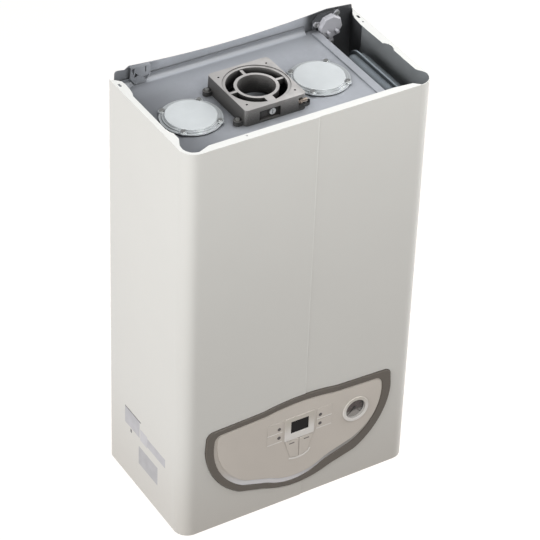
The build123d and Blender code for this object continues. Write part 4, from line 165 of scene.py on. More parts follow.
# ---------------------------------------------------------------- node helpers
class Nodes:
    """A material's node tree with short calls for the nodes that these finishes use."""

    def __init__(self, name):
        """A new material; place and facing are the object's coordinates and its normal."""
        self.material = bpy.data.materials.new(name)
        self.material.use_nodes = True
        self.tree = self.material.node_tree
        self.shader = self.tree.nodes["Principled BSDF"]
        coordinates = self.new("ShaderNodeTexCoord")
        self.place = coordinates.outputs["Object"]
        self.facing = coordinates.outputs["Normal"]

    def new(self, kind, **settings):
        """A node of a kind, with its properties set."""
        node = self.tree.nodes.new(kind)
        for name, value in settings.items():
            setattr(node, name, value)
        return node

    def link(self, output, node_input):
        """Joins an output to an input."""
        self.tree.links.new(output, node_input)

    def stretched(self, scale):
        """Object coordinates scaled along each axis."""
        mapping = self.new("ShaderNodeMapping")
        mapping.inputs["Scale"].default_value = scale
        self.link(self.place, mapping.inputs["Vector"])
        return mapping.outputs["Vector"]

    def noise(self, scale, detail=3.0, rough=0.5, vector=None):
        """Cloudy noise from 0 to 1, on object coordinates unless a vector is given."""
        node = self.new("ShaderNodeTexNoise")
        node.inputs["Scale"].default_value = scale
        node.inputs["Detail"].default_value = detail
        node.inputs["Roughness"].default_value = rough
        self.link(vector or self.place, node.inputs["Vector"])
        return node.outputs["Fac"]

    def cells(self, scale, feature="F1"):
        """Outputs of a Voronoi pattern on object coordinates."""
        node = self.new("ShaderNodeTexVoronoi", feature=feature)
        node.inputs["Scale"].default_value = scale
        self.link(self.place, node.inputs["Vector"])
        return node.outputs

    def grey(self, colour):
        """Brightness of a colour."""
        node = self.new("ShaderNodeRGBToBW")
        self.link(colour, node.inputs["Color"])
        return node.outputs["Val"]

    def along(self, axis, start, end):
        """0 at start and 1 at end along an axis of the object, held beyond them; in millimetres."""
        split = self.new("ShaderNodeSeparateXYZ")
        self.link(self.place, split.inputs["Vector"])
        return self.step(split.outputs[axis], start * MM, end * MM)

    def patch(self, centre, half):
        """1 inside a box, 0 outside it; in millimetres."""
        offset = self.new("ShaderNodeVectorMath", operation="SUBTRACT")
        self.link(self.place, offset.inputs[0])
        offset.inputs[1].default_value = [value * MM for value in centre]
        span = self.new("ShaderNodeVectorMath", operation="ABSOLUTE")
        self.link(offset.outputs["Vector"], span.inputs[0])
        share = self.new("ShaderNodeVectorMath", operation="DIVIDE")
        self.link(span.outputs["Vector"], share.inputs[0])
        share.inputs[1].default_value = [value * MM for value in half]
        split = self.new("ShaderNodeSeparateXYZ")
        self.link(share.outputs["Vector"], split.inputs["Vector"])
        inside = self.most(self.most(split.outputs["X"], split.outputs["Y"]), split.outputs["Z"])
        node = self.new("ShaderNodeMath", operation="LESS_THAN")
        self.link(inside, node.inputs[0])
        node.inputs[1].default_value = 1.0
        return node.outputs["Value"]

    def most(self, a, b):
        """The greater of two values."""
        node = self.new("ShaderNodeMath", operation="MAXIMUM")
        self.link(a, node.inputs[0])
        self.link(b, node.inputs[1])
        return node.outputs["Value"]

    def inward(self, centre):
        """1 on walls that face an upright line through centre, 0 on other faces; in millimetres."""
        away = self.new("ShaderNodeVectorMath", operation="SUBTRACT")
        self.link(self.place, away.inputs[0])
        away.inputs[1].default_value = [value * MM for value in centre]
        flat = self.new("ShaderNodeVectorMath", operation="MULTIPLY")
        self.link(away.outputs["Vector"], flat.inputs[0])
        flat.inputs[1].default_value = (1.0, 1.0, 0.0)
        towards = self.new("ShaderNodeVectorMath", operation="DOT_PRODUCT")
        self.link(flat.outputs["Vector"], towards.inputs[0])
        self.link(self.facing, towards.inputs[1])
        node = self.new("ShaderNodeMapRange")
        node.inputs["From Min"].default_value = FACES_IN[0] * MM
        node.inputs["From Max"].default_value = FACES_IN[1] * MM
        self.link(towards.outputs["Value"], node.inputs["Value"])
        return node.outputs["Result"]

    def ramp(self, value, low, high, low_at=0.35, high_at=0.65):
        """Colour between low and high as value goes from low_at to high_at."""
        node = self.new("ShaderNodeValToRGB")
        node.color_ramp.elements[0].position = low_at
        node.color_ramp.elements[0].color = (*low, 1.0)
        node.color_ramp.elements[1].position = high_at
        node.color_ramp.elements[1].color = (*high, 1.0)
        self.link(value, node.inputs["Fac"])
        return node.outputs["Color"]

    def spread(self, value, low, high):
        """Value from 0..1 mapped to low..high."""
        node = self.new("ShaderNodeMapRange")
        node.inputs["To Min"].default_value = low
        node.inputs["To Max"].default_value = high
        self.link(value, node.inputs["Value"])
        return node.outputs["Result"]

    def step(self, value, start, end):
        """0 up to start, 1 from end on, smooth between them."""
        node = self.new("ShaderNodeMapRange", interpolation_type="SMOOTHSTEP")
        node.inputs["From Min"].default_value = start
        node.inputs["From Max"].default_value = end
        self.link(value, node.inputs["Value"])
        return node.outputs["Result"]

    def mix(self, factor, a, b):
        """Colour a at factor 0 and b at 1; each of the three may be a value or an output."""
        node = self.new("ShaderNodeMix", data_type="RGBA")
        for name, value in (("Factor", factor), ("A", a), ("B", b)):
            socket = node.inputs[name]
            if isinstance(value, bpy.types.NodeSocket):
                self.link(value, socket)
            elif isinstance(value, tuple):
                socket.default_value = (*value, 1.0)
            else:
                socket.default_value = value
        return node.outputs["Result"]

    def corners(self, distance):
        """1 on open surfaces, towards 0 in corners and under edges, where the finishes paint shade;
        distance in metres.
        """
        node = self.new("ShaderNodeAmbientOcclusion", samples=CORNER_SHADE_SAMPLES)
        node.inputs["Distance"].default_value = distance
        return node.outputs["AO"]

    def bump(self, height, strength, distance):
        """Fine relief on the shader's normal; distance in metres."""
        node = self.new("ShaderNodeBump")
        node.inputs["Strength"].default_value = strength
        node.inputs["Distance"].default_value = distance
        self.link(height, node.inputs["Height"])
        self.link(node.outputs["Normal"], self.shader.inputs["Normal"])

    def colour(self, output):
        """The shader's colour from an output."""
        self.link(output, self.shader.inputs["Base Color"])

    def roughness(self, value, low, high):
        """The shader's roughness, from low to high as value goes from 0 to 1."""
        self.link(self.spread(value, low, high), self.shader.inputs["Roughness"])

    def set(self, **values):
        """Constants on the shader's own sockets, with spaces written as underscores."""
        for name, value in values.items():
            self.shader.inputs[name.replace("_", " ")].default_value = value


def shade(colour, share):
    """The colour made darker or lighter."""
    return tuple(channel * share for channel in colour)


# ---------------------------------------------------------------- finishes
def powder_coat(name, colour, inside):
    """Powder coat: faint orange peel, painted shade in corners and towards the foot, film patches,
    darker grey on inward walls.
    """
    n = Nodes(name)
    cloud = n.noise(3.0, detail=4.0)
    tint = n.ramp(cloud, shade(colour, 0.965), colour, low_at=0.3, high_at=0.7)
    # Painted shade: the coat turns darker and warmer towards the foot.
    foot = n.mix(n.along("Z", *SHADED_FOOT_Z), SHADED_FOOT_COAT, tint)
    # Painted shade in corners and under edges.
    coat = n.mix(n.corners(0.012), shade(colour, 0.80), foot)
    for centre, half, film in PATCHES:
        coat = n.mix(n.patch(centre, half), coat, n.ramp(n.noise(60.0), shade(film, 0.90), film))
    # Darker grey on the walls that face inwards.
    inner_grey = n.ramp(n.noise(14.0, detail=4.0), shade(inside, 0.88), shade(inside, 1.08))
    n.colour(n.mix(n.inward(CASE_CENTRE), coat, inner_grey))
    n.roughness(n.noise(90.0), low=0.30, high=0.42)
    n.bump(n.noise(700.0, detail=2.0), strength=0.06, distance=0.0004)
    n.set(Coat_Weight=0.12, Coat_Roughness=0.25)
    return n.material


def galvanised(name, colour, shaded_spans=()):
    """Zinc-coated sheet: soft spangle, fine rolling lines, cloudy patches, and painted shade over
    given spans and in corners.
    """
    n = Nodes(name)
    spangle = n.grey(n.cells(150.0)["Color"])
    rolled = n.noise(60.0, detail=4.0, rough=0.6, vector=n.stretched((1.0, 14.0, 1.0)))
    patches = n.ramp(n.noise(9.0, detail=4.0), shade(colour, 0.84), shade(colour, 1.08),
                     low_at=0.3, high_at=0.7)
    grains = n.ramp(spangle, shade(colour, 0.93), shade(colour, 1.05), low_at=0.0, high_at=1.0)
    flecks = n.mix(0.5, patches, grains)
    # Painted shade over the given spans of the sheet.
    for bounds, shade_share in shaded_spans:
        clear = n.along(*bounds[0])
        for bound in bounds[1:]:
            clear = n.most(clear, n.along(*bound))
        flecks = n.mix(clear, shade(colour, shade_share), flecks)
    # Painted shade in corners and under edges.
    n.colour(n.mix(n.corners(0.034), shade(colour, 0.32), flecks))
    n.roughness(rolled, low=0.40, high=0.58)
    n.bump(rolled, strength=0.05, distance=0.0003)
    n.set(Metallic=0.6)
    return n.material


def cast_alloy(name, colour):
    """Matt pebbled die-casting with painted shade in corners, on its left flank and towards its
    left end.
    """
    n = Nodes(name)
    pebble = n.noise(900.0)
    cloud = n.ramp(n.noise(35.0, detail=4.0), shade(colour, 0.82), shade(colour, 1.10))
    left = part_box("flue_adaptor")[0].x / MM
    # Painted shade towards the left end.
    shaded_end = n.mix(n.along("X", left, left + SHADE_RUN), shade(colour, 0.80), cloud)
    side = left + FLANK_IN
    # Painted shade on the left flank.
    shaded_flank = n.mix(n.along("X", side, side + FLANK_BLEND), shade(colour, 0.27), shaded_end)
    # Painted shade in corners and deep inside the flue.
    n.colour(n.mix(n.step(n.corners(0.080), 0.31, 0.96), shade(colour, 0.05), shaded_flank))
    n.roughness(pebble, low=0.46, high=0.62)
    n.bump(pebble, strength=0.25, distance=0.0005)
    n.set(Metallic=0.45)
    return n.material


def pressed_metal(name, colour, rough=(0.22, 0.38)):
    """Bright steel or brass with turned or drawn lines and painted shade in corners."""
    n = Nodes(name)
    lines = n.noise(140.0, detail=3.0, rough=0.6, vector=n.stretched((1.0, 1.0, 9.0)))
    tint = n.ramp(lines, shade(colour, 0.88), colour)
    n.colour(n.mix(n.corners(0.006), shade(colour, 0.4), tint))
    n.roughness(lines, *rough)
    n.bump(lines, strength=0.08, distance=0.0002)
    n.set(Metallic=0.95)
    return n.material


def satin_disc(name, colour, rough=(0.38, 0.55), metal=0.15):
    """Pale satin pressing with faint handling marks and painted shade at its steps."""
    n = Nodes(name)
    marks = n.noise(55.0, detail=5.0, rough=0.65)
    tint = n.ramp(marks, shade(colour, 0.95), colour, low_at=0.3, high_at=0.7)
    n.colour(n.mix(n.corners(0.004), shade(colour, 0.35), tint))
    n.roughness(marks, *rough)
    n.bump(n.noise(800.0, detail=2.0), strength=0.05, distance=0.0003)
    n.set(Metallic=metal)
    return n.material


def moulded(name, colour, rough=(0.42, 0.55), grain=0.10, coat=0.0):
    """Moulded plastic with a fine spark-eroded texture and painted shade in corners."""
    n = Nodes(name)
    fine = n.noise(1600.0, detail=2.0)
    cloud = n.ramp(n.noise(12.0), shade(colour, 0.95), shade(colour, 1.03),
                   low_at=0.3, high_at=0.7)
    n.colour(n.mix(n.corners(0.004), shade(colour, 0.6), cloud))
    n.roughness(fine, *rough)
    n.bump(fine, strength=grain, distance=0.0003)
    n.set(Coat_Weight=coat, Coat_Roughness=0.15)
    return n.material


def fascia(name, colour, lip_highlight, lip_shade):
    """Pale moulding with a painted highlight on its bared lower lip, most at the lower left,
    turning to painted shade to the right; painted shade in corners.
    """
    n = Nodes(name)
    fine = n.noise(1600.0, detail=2.0)
    cloud = n.ramp(n.noise(9.0), shade(colour, 0.955), shade(colour, 1.03),
                   low_at=0.3, high_at=0.7)
    # Painted shade in corners and under edges.
    field = n.mix(n.corners(0.003), shade(colour, 0.6), cloud)
    # Painted highlight and painted shade on the lower lip.
    lip_light_and_shade = n.mix(n.along("X", *LIP_FADE_X), lip_highlight, lip_shade)
    faded_lip_light = n.mix(n.along("Z", *LIP_FADE_Z), lip_light_and_shade, shade(colour, 0.92))
    n.colour(n.mix(n.along("Y", LIP_Y - LIP_BLEND, LIP_Y + LIP_BLEND), field, faded_lip_light))
    n.roughness(fine, low=0.32, high=0.44)
    n.bump(fine, strength=0.05, distance=0.0003)
    n.set(Coat_Weight=0.1, Coat_Roughness=0.2)
    return n.material


def display_frame(name, top, low):
    """Glossy frame with painted light on its lower part, painted shade towards its top and in
    corners.
    """
    n = Nodes(name)
    fine = n.noise(1600.0, detail=2.0)
    # Painted light low down, painted shade higher up.
    tint = n.mix(n.along("Z", *FRAME_LIGHT_Z), low, top)
    n.colour(n.mix(n.corners(0.003), shade(top, 0.55), tint))
    n.roughness(fine, low=0.26, high=0.36)
    n.bump(fine, strength=0.04, distance=0.0003)
    n.set(Coat_Weight=0.15, Coat_Roughness=0.15)
    return n.material


def copper(name, colour):
    """Drawn copper with darker oxide patches."""
    n = Nodes(name)
    stain = n.noise(40.0, detail=5.0, rough=0.6)
    n.colour(n.ramp(stain, shade(colour, 0.55), colour, low_at=0.3, high_at=0.62))
    n.roughness(stain, low=0.45, high=0.22)
    n.bump(n.noise(300.0, detail=2.0), strength=0.05, distance=0.0002)
    n.set(Metallic=0.95)
    return n.material


def painted_can(name, colour):
    """Painted steel can with uneven gloss and painted shade in corners."""
    n = Nodes(name)
    cloud = n.ramp(n.noise(22.0, detail=4.0), shade(colour, 0.85), shade(colour, 1.15))
    n.colour(n.mix(n.corners(0.01), shade(colour, 0.5), cloud))
    n.roughness(n.noise(120.0), low=0.30, high=0.48)
    n.bump(n.noise(500.0, detail=2.0), strength=0.08, distance=0.0003)
    n.set(Coat_Weight=0.2, Coat_Roughness=0.3)
    return n.material


def enamel(name, colour):
    """Glossy enamel with painted highlights on open edges and painted shade where it lies deep."""
    n = Nodes(name)
    cloud = n.ramp(n.noise(22.0, detail=4.0), shade(colour, 0.92), shade(colour, 1.05))
    # Painted highlight on open edges, painted shade in the deep parts.
    n.colour(n.mix(n.step(n.corners(0.060), 0.50, 0.92), shade(colour, 0.20), cloud))
    n.roughness(n.noise(120.0), low=0.16, high=0.26)
    n.bump(n.noise(500.0, detail=2.0), strength=0.06, distance=0.0003)
    n.set(Coat_Weight=0.5, Coat_Roughness=0.12)
    return n.material


def rubber(name, colour):
    """Matt seal with dust."""
    n = Nodes(name)
    dust = n.noise(300.0, detail=4.0)
    n.colour(n.ramp(dust, colour, shade(colour, 1.8), low_at=0.45, high_at=0.8))
    n.roughness(dust, low=0.7, high=0.9)
    n.bump(dust, strength=0.2, distance=0.0003)
    return n.material


def fibre(name, colour):
    """Ceramic fibre board."""
    n = Nodes(name)
    strands = n.noise(220.0, detail=6.0, rough=0.7, vector=n.stretched((1.0, 1.0, 4.0)))
    n.colour(n.ramp(strands, shade(colour, 0.8), colour))
    n.roughness(strands, low=0.85, high=0.98)
    n.bump(strands, strength=0.4, distance=0.001)
    return n.material


def dark_display(name, colour):
    """Unlit display: near black, with the faintest pixel columns."""
    n = Nodes(name)
    columns = n.new("ShaderNodeTexWave", wave_type="BANDS", bands_direction="X")
    columns.inputs["Scale"].default_value = 900.0
    n.link(n.place, columns.inputs["Vector"])
    n.colour(n.ramp(columns.outputs["Fac"], colour, shade(colour, 1.35), low_at=0.2, high_at=0.8))
    n.roughness(n.noise(40.0), low=0.16, high=0.24)
    n.set(Specular_IOR_Level=0.08)
    return n.material


def lens_glass(name):
    """Clear gauge lens with a few smears."""
    n = Nodes(name)
    smear = n.noise(120.0, detail=4.0)
    n.roughness(smear, low=0.03, high=0.12)
    n.colour(n.ramp(smear, (0.40, 0.41, 0.41), (0.50, 0.52, 0.52)))
    n.set(Alpha=0.04, Specular_IOR_Level=0.12)
    return n.material


def printed(name, colour):
    """Ink: flat and matt with slightly uneven cover."""
    n = Nodes(name)
    cover = n.noise(900.0)
    n.colour(n.ramp(cover, shade(colour, 0.85), shade(colour, 1.1)))
    n.roughness(cover, low=0.45, high=0.6)
    return n.material


def dial_face(name, colour, foot):
    """Printed dial, dark behind its scale and pale at its foot."""
    n = Nodes(name)
    cover = n.noise(900.0)
    print_tone = n.ramp(cover, shade(colour, 0.85), shade(colour, 1.1))
    n.colour(n.mix(n.along("Z", DIAL_FOOT_Z, DIAL_FOOT_Z + DIAL_FOOT_BLEND), foot, print_tone))
    n.roughness(cover, low=0.45, high=0.6)
    return n.material


def circuit_board(name, colour):
    """Green board with lighter tracks."""
    n = Nodes(name)
    tracks = n.cells(160.0, "DISTANCE_TO_EDGE")["Distance"]
    n.colour(n.ramp(tracks, shade(colour, 1.9), colour, low_at=0.02, high_at=0.08))
    n.roughness(n.noise(60.0), low=0.25, high=0.4)
    return n.material


# Maker and settings of each finish. Most carry the name of a material slot; the others are
# for OWN_FINISHES and for the pieces added here.
RECIPES = {
    "casing_white": (powder_coat, (0.80, 0.80, 0.775), (0.27, 0.285, 0.295)),
    "galvanised": (galvanised, (0.50, 0.52, 0.56)),
    "chamber_sheet": (galvanised, (0.55, 0.57, 0.61), CHAMBER_SHADE),
    "frame_sheet": (galvanised, (0.62, 0.64, 0.68), FRAME_SHADE),
    "screw_steel": (pressed_metal, (0.74, 0.74, 0.72)),
    "cast_alloy": (cast_alloy, (0.60, 0.58, 0.565)),
    "cap_steel": (satin_disc, (0.74, 0.77, 0.78), (0.26, 0.40), 0.55),
    "cap_pale": (satin_disc, (0.66, 0.69, 0.70)),
    "gasket": (rubber, (0.035, 0.035, 0.035)),
    "brass": (pressed_metal, (0.66, 0.55, 0.46)),
    "copper_tube": (copper, (0.72, 0.40, 0.26)),
    "copper_fins": (copper, (0.60, 0.36, 0.25)),
    "dark_can": (painted_can, (0.05, 0.055, 0.06)),
    "fibre": (fibre, (0.80, 0.78, 0.72)),
    "steel": (pressed_metal, (0.42, 0.42, 0.43), (0.3, 0.45)),
    "ceramic": (moulded, (0.85, 0.84, 0.80), (0.12, 0.2), 0.02, 0.4),
    "vessel_grey": (enamel, (0.34, 0.385, 0.42)),
    "grey_plastic": (moulded, (0.42, 0.42, 0.45)),
    "black_plastic": (moulded, (0.02, 0.02, 0.02)),
    "bezel_grey": (moulded, (0.112, 0.096, 0.080), (0.40, 0.52), 0.12),
    "fascia_pale": (fascia, (0.72, 0.672, 0.62), (0.86, 0.86, 0.90), (0.34, 0.33, 0.32)),
    # Its darker colour is painted shade at the top, its pale one painted light below.
    "frame_pale": (display_frame, (0.66, 0.62, 0.56), (0.93, 0.91, 0.89)),
    "display": (dark_display, (0.012, 0.011, 0.012)),
    "button_grey": (moulded, (0.10, 0.09, 0.09)),
    "dial_grey": (dial_face, (0.110, 0.084, 0.082), (0.46, 0.44, 0.42)),
    "needle_black": (printed, (0.012, 0.012, 0.012)),
    "lens": (lens_glass,),
    "board_green": (circuit_board, (0.02, 0.10, 0.05)),
    "blue_plastic": (moulded, (0.03, 0.10, 0.35)),
    "red_plastic": (moulded, (0.40, 0.03, 0.03)),
    "ink": (printed, (0.012, 0.011, 0.012)),
    # Near-white finish as painted highlight, on the pads' lower edges and the key arc.
    "pad_edge": (moulded, (0.97, 0.94, 0.91), (0.22, 0.30), 0.04, 0.4),
}
FINISHES = {name: make(name, *settings) for name, (make, *settings) in RECIPES.items()}
OWN_FINISHES = {"rear_frame": "frame_sheet", "chamber_body": "chamber_sheet"}   # by node


def dress_nodes():
    """Every carried-over node takes its own finish, or else that of its slot."""
    slots = {part["node"]: part["material_slot"] for part in frame["record"]["subparts"]}
    for node, obj in frame["nodes"].items():
        for slot in obj.material_slots:
            slot.material = FINISHES[OWN_FINISHES.get(node, slots[node])]


# ---------------------------------------------------------------- object and mesh helpers
def new_object(name, data):
    """An object with its data, linked to the scene."""
    obj = bpy.data.objects.new(name, data)
    bpy.context.scene.collection.objects.link(obj)
    return obj


def add_piece(name, mesh, finish, body):
    """A mesh as a piece with its finish, riding on a body."""
    piece = new_object(name, mesh)
    mesh.materials.append(FINISHES[finish])
    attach(piece, body)
    return piece


def middle(node):
    """Middle x and z of a node's box."""
    low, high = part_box(node)
    return (low.x + high.x) / 2, (low.z + high.z) / 2


def mesh_of(bm, name):
    """The mesh of bm, with its normals outward; frees bm."""
    mesh = bpy.data.meshes.new(name)
    bmesh.ops.recalc_face_normals(bm, faces=bm.faces)
    bm.to_mesh(mesh)
    bm.free()
    return mesh


def prism(bm, outline, y_back, depth):
    """Adds a plate to bm: an (x, z) outline, its back on y_back, growing towards the front."""
    back = [bm.verts.new((x, y_back, z)) for x, z in outline]
    front = [bm.verts.new((x, y_back - depth, z)) for x, z in outline]
    bm.faces.new(back)
    bm.faces.new(front[::-1])
    for i in range(len(outline)):
        j = (i + 1) % len(outline)
        bm.faces.new((back[i], back[j], front[j], front[i]))


def finely(outline, run):
    """The outline with points added, so that none are further apart than run."""
    points = []
    for (ax, az), (bx, bz) in zip(outline, outline[1:] + outline[:1]):
        parts = math.ceil(math.hypot(bx - ax, bz - az) / run)
        points += [(ax + (bx - ax) * i / parts, az + (bz - az) * i / parts) for i in range(parts)]
    return points


def pierced(bm, outline, hole, y_back, depth):
    """Adds a plate to bm as prism does, with a round hole: its x, z and radius."""
    hole_x, hole_z, radius = hole
    outer = finely(outline, HOLE_RUN * MM)
    inner = []
    for x, z in outer:
        share = radius / math.hypot(x - hole_x, z - hole_z)
        inner.append((hole_x + (x - hole_x) * share, hole_z + (z - hole_z) * share))
    back_out, back_in, front_out, front_in = [
        [bm.verts.new((x, y, z)) for x, z in points]
        for y in (y_back, y_back - depth) for points in (outer, inner)]
    strips = ((back_out, back_in), (front_in, front_out),
              (front_out, back_out), (back_in, front_in))
    for i in range(len(outer)):
        j = (i + 1) % len(outer)
        for a, b in strips:
            bm.faces.new((a[i], a[j], b[j], b[i]))


def rounded(x0, x1, z0, z1, r, steps=5):
    """Outline of a rectangle with round corners, anticlockwise from its upper right."""
    corners = ((x1 - r, z1 - r), (x0 + r, z1 - r), (x0 + r, z0 + r), (x1 - r, z0 + r))
    points = []
    for quarter, (cx, cz) in enumerate(corners):
        for i in range(steps + 1):
            angle = math.radians(90 * quarter + 90 * i / steps)
            points.append((cx + r * math.cos(angle), cz + r * math.sin(angle)))
    return points


# ---------------------------------------------------------------- pressure gauge
def dial_direction(share):
    """Unit (x, z) direction of a share of the scale; zero is at the lower left."""
    angle = math.radians(DIAL_START - DIAL_SWEEP * share)
    return math.cos(angle), math.sin(angle)


def gauge_ticks():
    """Printed ticks on the dial and an arc outside them."""
    cx, cz = middle("gauge_dial")
    face_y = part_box("gauge_dial")[0].y
    bm = bmesh.new()
    for i in range(DIAL_TICKS + 1):
        dx, dz = dial_direction(i / DIAL_TICKS)
        major = i % (DIAL_TICKS // DIAL_NUMBERS) == 0
        inner = (MAJOR_IN_R if major else TICK_IN_R) * MM
        outer = TICK_OUT_R * MM
        half = (MAJOR_HALF_W if major else TICK_HALF_W) * MM
        corners = [(cx + dx * r - dz * s, cz + dz * r + dx * s)
                   for r, s in ((inner, -half), (outer, -half), (outer, half), (inner, half))]
        prism(bm, corners, face_y, INK_H * MM)
    ring_in, ring_out = TICK_OUT_R * MM, (TICK_OUT_R + ARC_BAND) * MM
    for i in range(ARC_STEPS):
        ax, az = dial_direction(i / ARC_STEPS)
        bx, bz = dial_direction((i + 1) / ARC_STEPS)
        corners = [(cx + dx * r, cz + dz * r)
                   for dx, dz, r in ((ax, az, ring_in), (ax, az, ring_out),
                                     (bx, bz, ring_out), (bx, bz, ring_in))]
        prism(bm, corners, face_y, INK_H * MM)
    add_piece("gauge_ticks", mesh_of(bm, "gauge_ticks"), "ink", "chassis")


def gauge_numbers():
    """Plain numbers inside the ticks."""
    cx, cz = middle("gauge_dial")
    face_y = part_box("gauge_dial")[0].y
    for number in range(DIAL_NUMBERS + 1):
        dx, dz = dial_direction(number / DIAL_NUMBERS)
        text = bpy.data.curves.new(f"gauge_number_{number}", "FONT")
        text.body = str(number)
        text.size = NUMBER_SIZE * MM
        text.extrude = INK_H * MM / 2
        text.align_x = "CENTER"
        text.align_y = "CENTER"
        text.materials.append(FINISHES["ink"])
        piece = new_object(text.name, text)
        piece.rotation_euler = (math.pi / 2, 0.0, 0.0)
        piece.location = (cx + dx * NUMBER_R * MM, face_y - INK_H * MM / 2, cz + dz * NUMBER_R * MM)
        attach(piece, "chassis")


# ---------------------------------------------------------------- panel details
def field_y():
    """Front of the fascia's raised field."""
    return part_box("control_fascia")[0].y


def button_pads():
    """Two shallow pads beside the display frame, each split between its two buttons, with a
    near-white strip of painted highlight along each plate's lower edge.
    """
    y = field_y()
    split = (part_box("button_1")[0].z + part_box("button_2")[1].z) / 2
    rows = ((PAD_LOW_Z * MM, split - PAD_SPLIT * MM / 2),
            (split + PAD_SPLIT * MM / 2, PAD_TOP_Z * MM))
    for name, side, buttons in PADS:
        x0, x1 = sorted((side * PAD_IN_X * MM, side * PAD_OUT_X * MM))
        plates, highlight_strips = bmesh.new(), bmesh.new()
        for (z0, z1), button in zip(rows, buttons):
            low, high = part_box(button)
            hole = (*middle(button), (high.x - low.x) / 2 + PAD_HOLE_GAP * MM)
            highlight_z = z0 + PAD_HIGHLIGHT_H * MM
            pierced(plates, rounded(x0, x1, highlight_z, z1, PAD_R * MM), hole, y, PAD_H * MM)
            prism(highlight_strips, rounded(x0, x1, z0, highlight_z, PAD_HIGHLIGHT_R * MM), y, PAD_H * MM)
        for piece, bm, finish in ((f"button_pad_{name}", plates, "fascia_pale"),
                                  (f"pad_edge_{name}", highlight_strips, "pad_edge")):
            add_piece(piece, mesh_of(bm, piece), finish, "chassis")


def key_marks():
    """A plain printed dash on each wing key, riding with the key."""
    half_w, half_h = DASH_W * MM / 2, DASH_H * MM / 2
    for node, body in DASHES:
        x, z = middle(node)[0], DASH_Z * MM
        bm = bmesh.new()
        prism(bm, rounded(x - half_w, x + half_w, z - half_h, z + half_h, half_h * DASH_ROUND),
              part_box(node)[0].y, INK_H * MM)
        add_piece(f"{body}_mark", mesh_of(bm, f"{body}_mark"), "button_grey", body)


def ribbon(points, width):
    """Closed outline of a band of even width along (x, z) points."""
    left, right = [], []
    for i, (x, z) in enumerate(points):
        ax, az = points[max(i - 1, 0)]
        bx, bz = points[min(i + 1, len(points) - 1)]
        run = math.hypot(bx - ax, bz - az)
        nx, nz = -(bz - az) / run * width / 2, (bx - ax) / run * width / 2
        left.append((x + nx, z + nz))
        right.append((x - nx, z - nz))
    return left + right[::-1]


def key_arc():
    """Raised arc moulded under the two keys, near-white in the pads' painted-highlight finish."""
    bm = bmesh.new()
    points = [(x * MM, z * MM) for x, z in ARC_POINTS]
    prism(bm, ribbon(points, ARC_W * MM), field_y(), PAD_H * MM)
    piece = add_piece("key_arc", mesh_of(bm, "key_arc"), "pad_edge", "chassis")
    bevel = piece.modifiers.new("edge", "BEVEL")
    bevel.width = ARC_EDGE * MM
    bevel.segments = 2


dress_nodes()
gauge_ticks()
gauge_numbers()
button_pads()
key_marks()
key_arc()


# ---------------------------------------------------------------- floor, lamps and camera
def floor():
    """Matt floor that keeps the object's shadow, with a glow that makes it read as white."""
    z = cad_box[0].z - FLOOR_DROP
    bm = bmesh.new()
    bmesh.ops.create_circle(bm, cap_ends=True, radius=FLOOR_RADIUS, segments=FLOOR_SIDES)
    bmesh.ops.translate(bm, verts=bm.verts, vec=(0.0, 0.0, z))
    mesh = mesh_of(bm, "floor")
    ground = new_object("floor", mesh)
    material = bpy.data.materials.new("floor")
    material.use_nodes = True
    tree = material.node_tree
    tree.nodes.clear()
    output = tree.nodes.new("ShaderNodeOutputMaterial")
    matt = tree.nodes.new("ShaderNodeBsdfDiffuse")
    matt.inputs["Color"].default_value = FLOOR_COLOUR
    glow = tree.nodes.new("ShaderNodeEmission")
    tree.links.new(seen_directly(tree, FLOOR_GLOW), glow.inputs["Strength"])
    both = tree.nodes.new("ShaderNodeAddShader")
    tree.links.new(matt.outputs["BSDF"], both.inputs[0])
    tree.links.new(glow.outputs["Emission"], both.inputs[1])
    tree.links.new(both.outputs["Shader"], output.inputs["Surface"])
    mesh.materials.append(material)


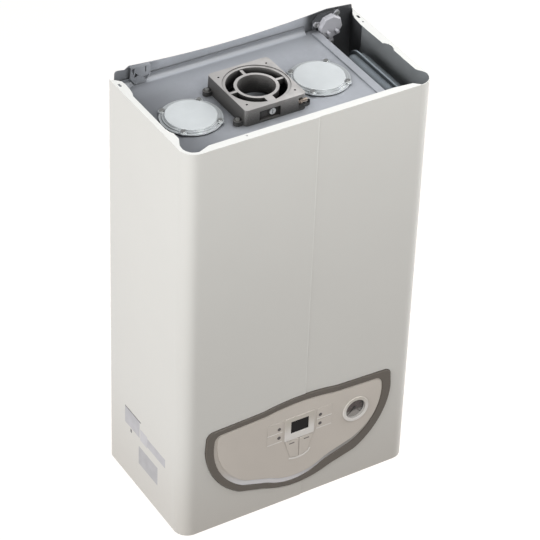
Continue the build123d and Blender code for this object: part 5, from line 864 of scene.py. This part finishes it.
def seen_directly(tree, strength):
    """Output that gives strength to camera, glossy and transmission rays, and 0 to the rest."""
    path = tree.nodes.new("ShaderNodeLightPath")
    total = path.outputs["Is Camera Ray"]
    for kind in ("Is Glossy Ray", "Is Transmission Ray"):
        add = tree.nodes.new("ShaderNodeMath")
        add.operation = "MAXIMUM"
        tree.links.new(total, add.inputs[0])
        tree.links.new(path.outputs[kind], add.inputs[1])
        total = add.outputs["Value"]
    scale = tree.nodes.new("ShaderNodeMath")
    scale.operation = "MULTIPLY"
    scale.inputs[1].default_value = strength
    tree.links.new(total, scale.inputs[0])
    return scale.outputs["Value"]


def room_light():
    """Even ambient light, and plain white where the camera sees the surroundings."""
    world = bpy.data.worlds.new("studio")
    bpy.context.scene.world = world
    world.use_nodes = True
    tree = world.node_tree
    back = tree.nodes["Background"]
    back.inputs["Color"].default_value = AMBIENT_COLOUR
    add = tree.nodes.new("ShaderNodeMath")
    add.operation = "MAXIMUM"
    add.inputs[1].default_value = AMBIENT
    path = tree.nodes.new("ShaderNodeLightPath")
    tree.links.new(path.outputs["Is Camera Ray"], add.inputs[0])
    tree.links.new(add.outputs["Value"], back.inputs["Strength"])


def lamps():
    """Round area lamps, each aimed at its point."""
    for name, place, aim, size, watts, colour in LAMPS:
        light = bpy.data.lights.new(name, "AREA")
        light.shape = "DISK"
        light.size = size
        light.energy = watts
        light.color = colour
        lamp = new_object(name, light)
        lamp.location = place
        lamp.rotation_mode = "QUATERNION"
        lamp.rotation_quaternion = (Vector(aim) - Vector(place)).to_track_quat("-Z", "Y")


def camera():
    """Camera at the photograph's viewing angle."""
    data = bpy.data.cameras.new("camera")
    data.sensor_width = SENSOR_MM
    data.lens = FOCAL_PIXELS / IMAGE_PIXELS * SENSOR_MM
    data.clip_end = VIEW_END
    cam = new_object("camera", data)
    back = Vector((math.sin(VIEW_AZIMUTH) * math.cos(VIEW_ELEVATION),
                   -math.cos(VIEW_AZIMUTH) * math.cos(VIEW_ELEVATION),
                   math.sin(VIEW_ELEVATION)))
    cam.location = VIEW_TARGET + back * VIEW_DISTANCE
    cam.rotation_mode = "QUATERNION"
    roll = Quaternion((0.0, 0.0, 1.0), VIEW_ROLL)
    cam.rotation_quaternion = (-back).to_track_quat("-Z", "Y") @ roll
    bpy.context.scene.camera = cam


floor()
room_light()
lamps()
camera()
bpy.context.scene.view_settings.view_transform = "Standard"
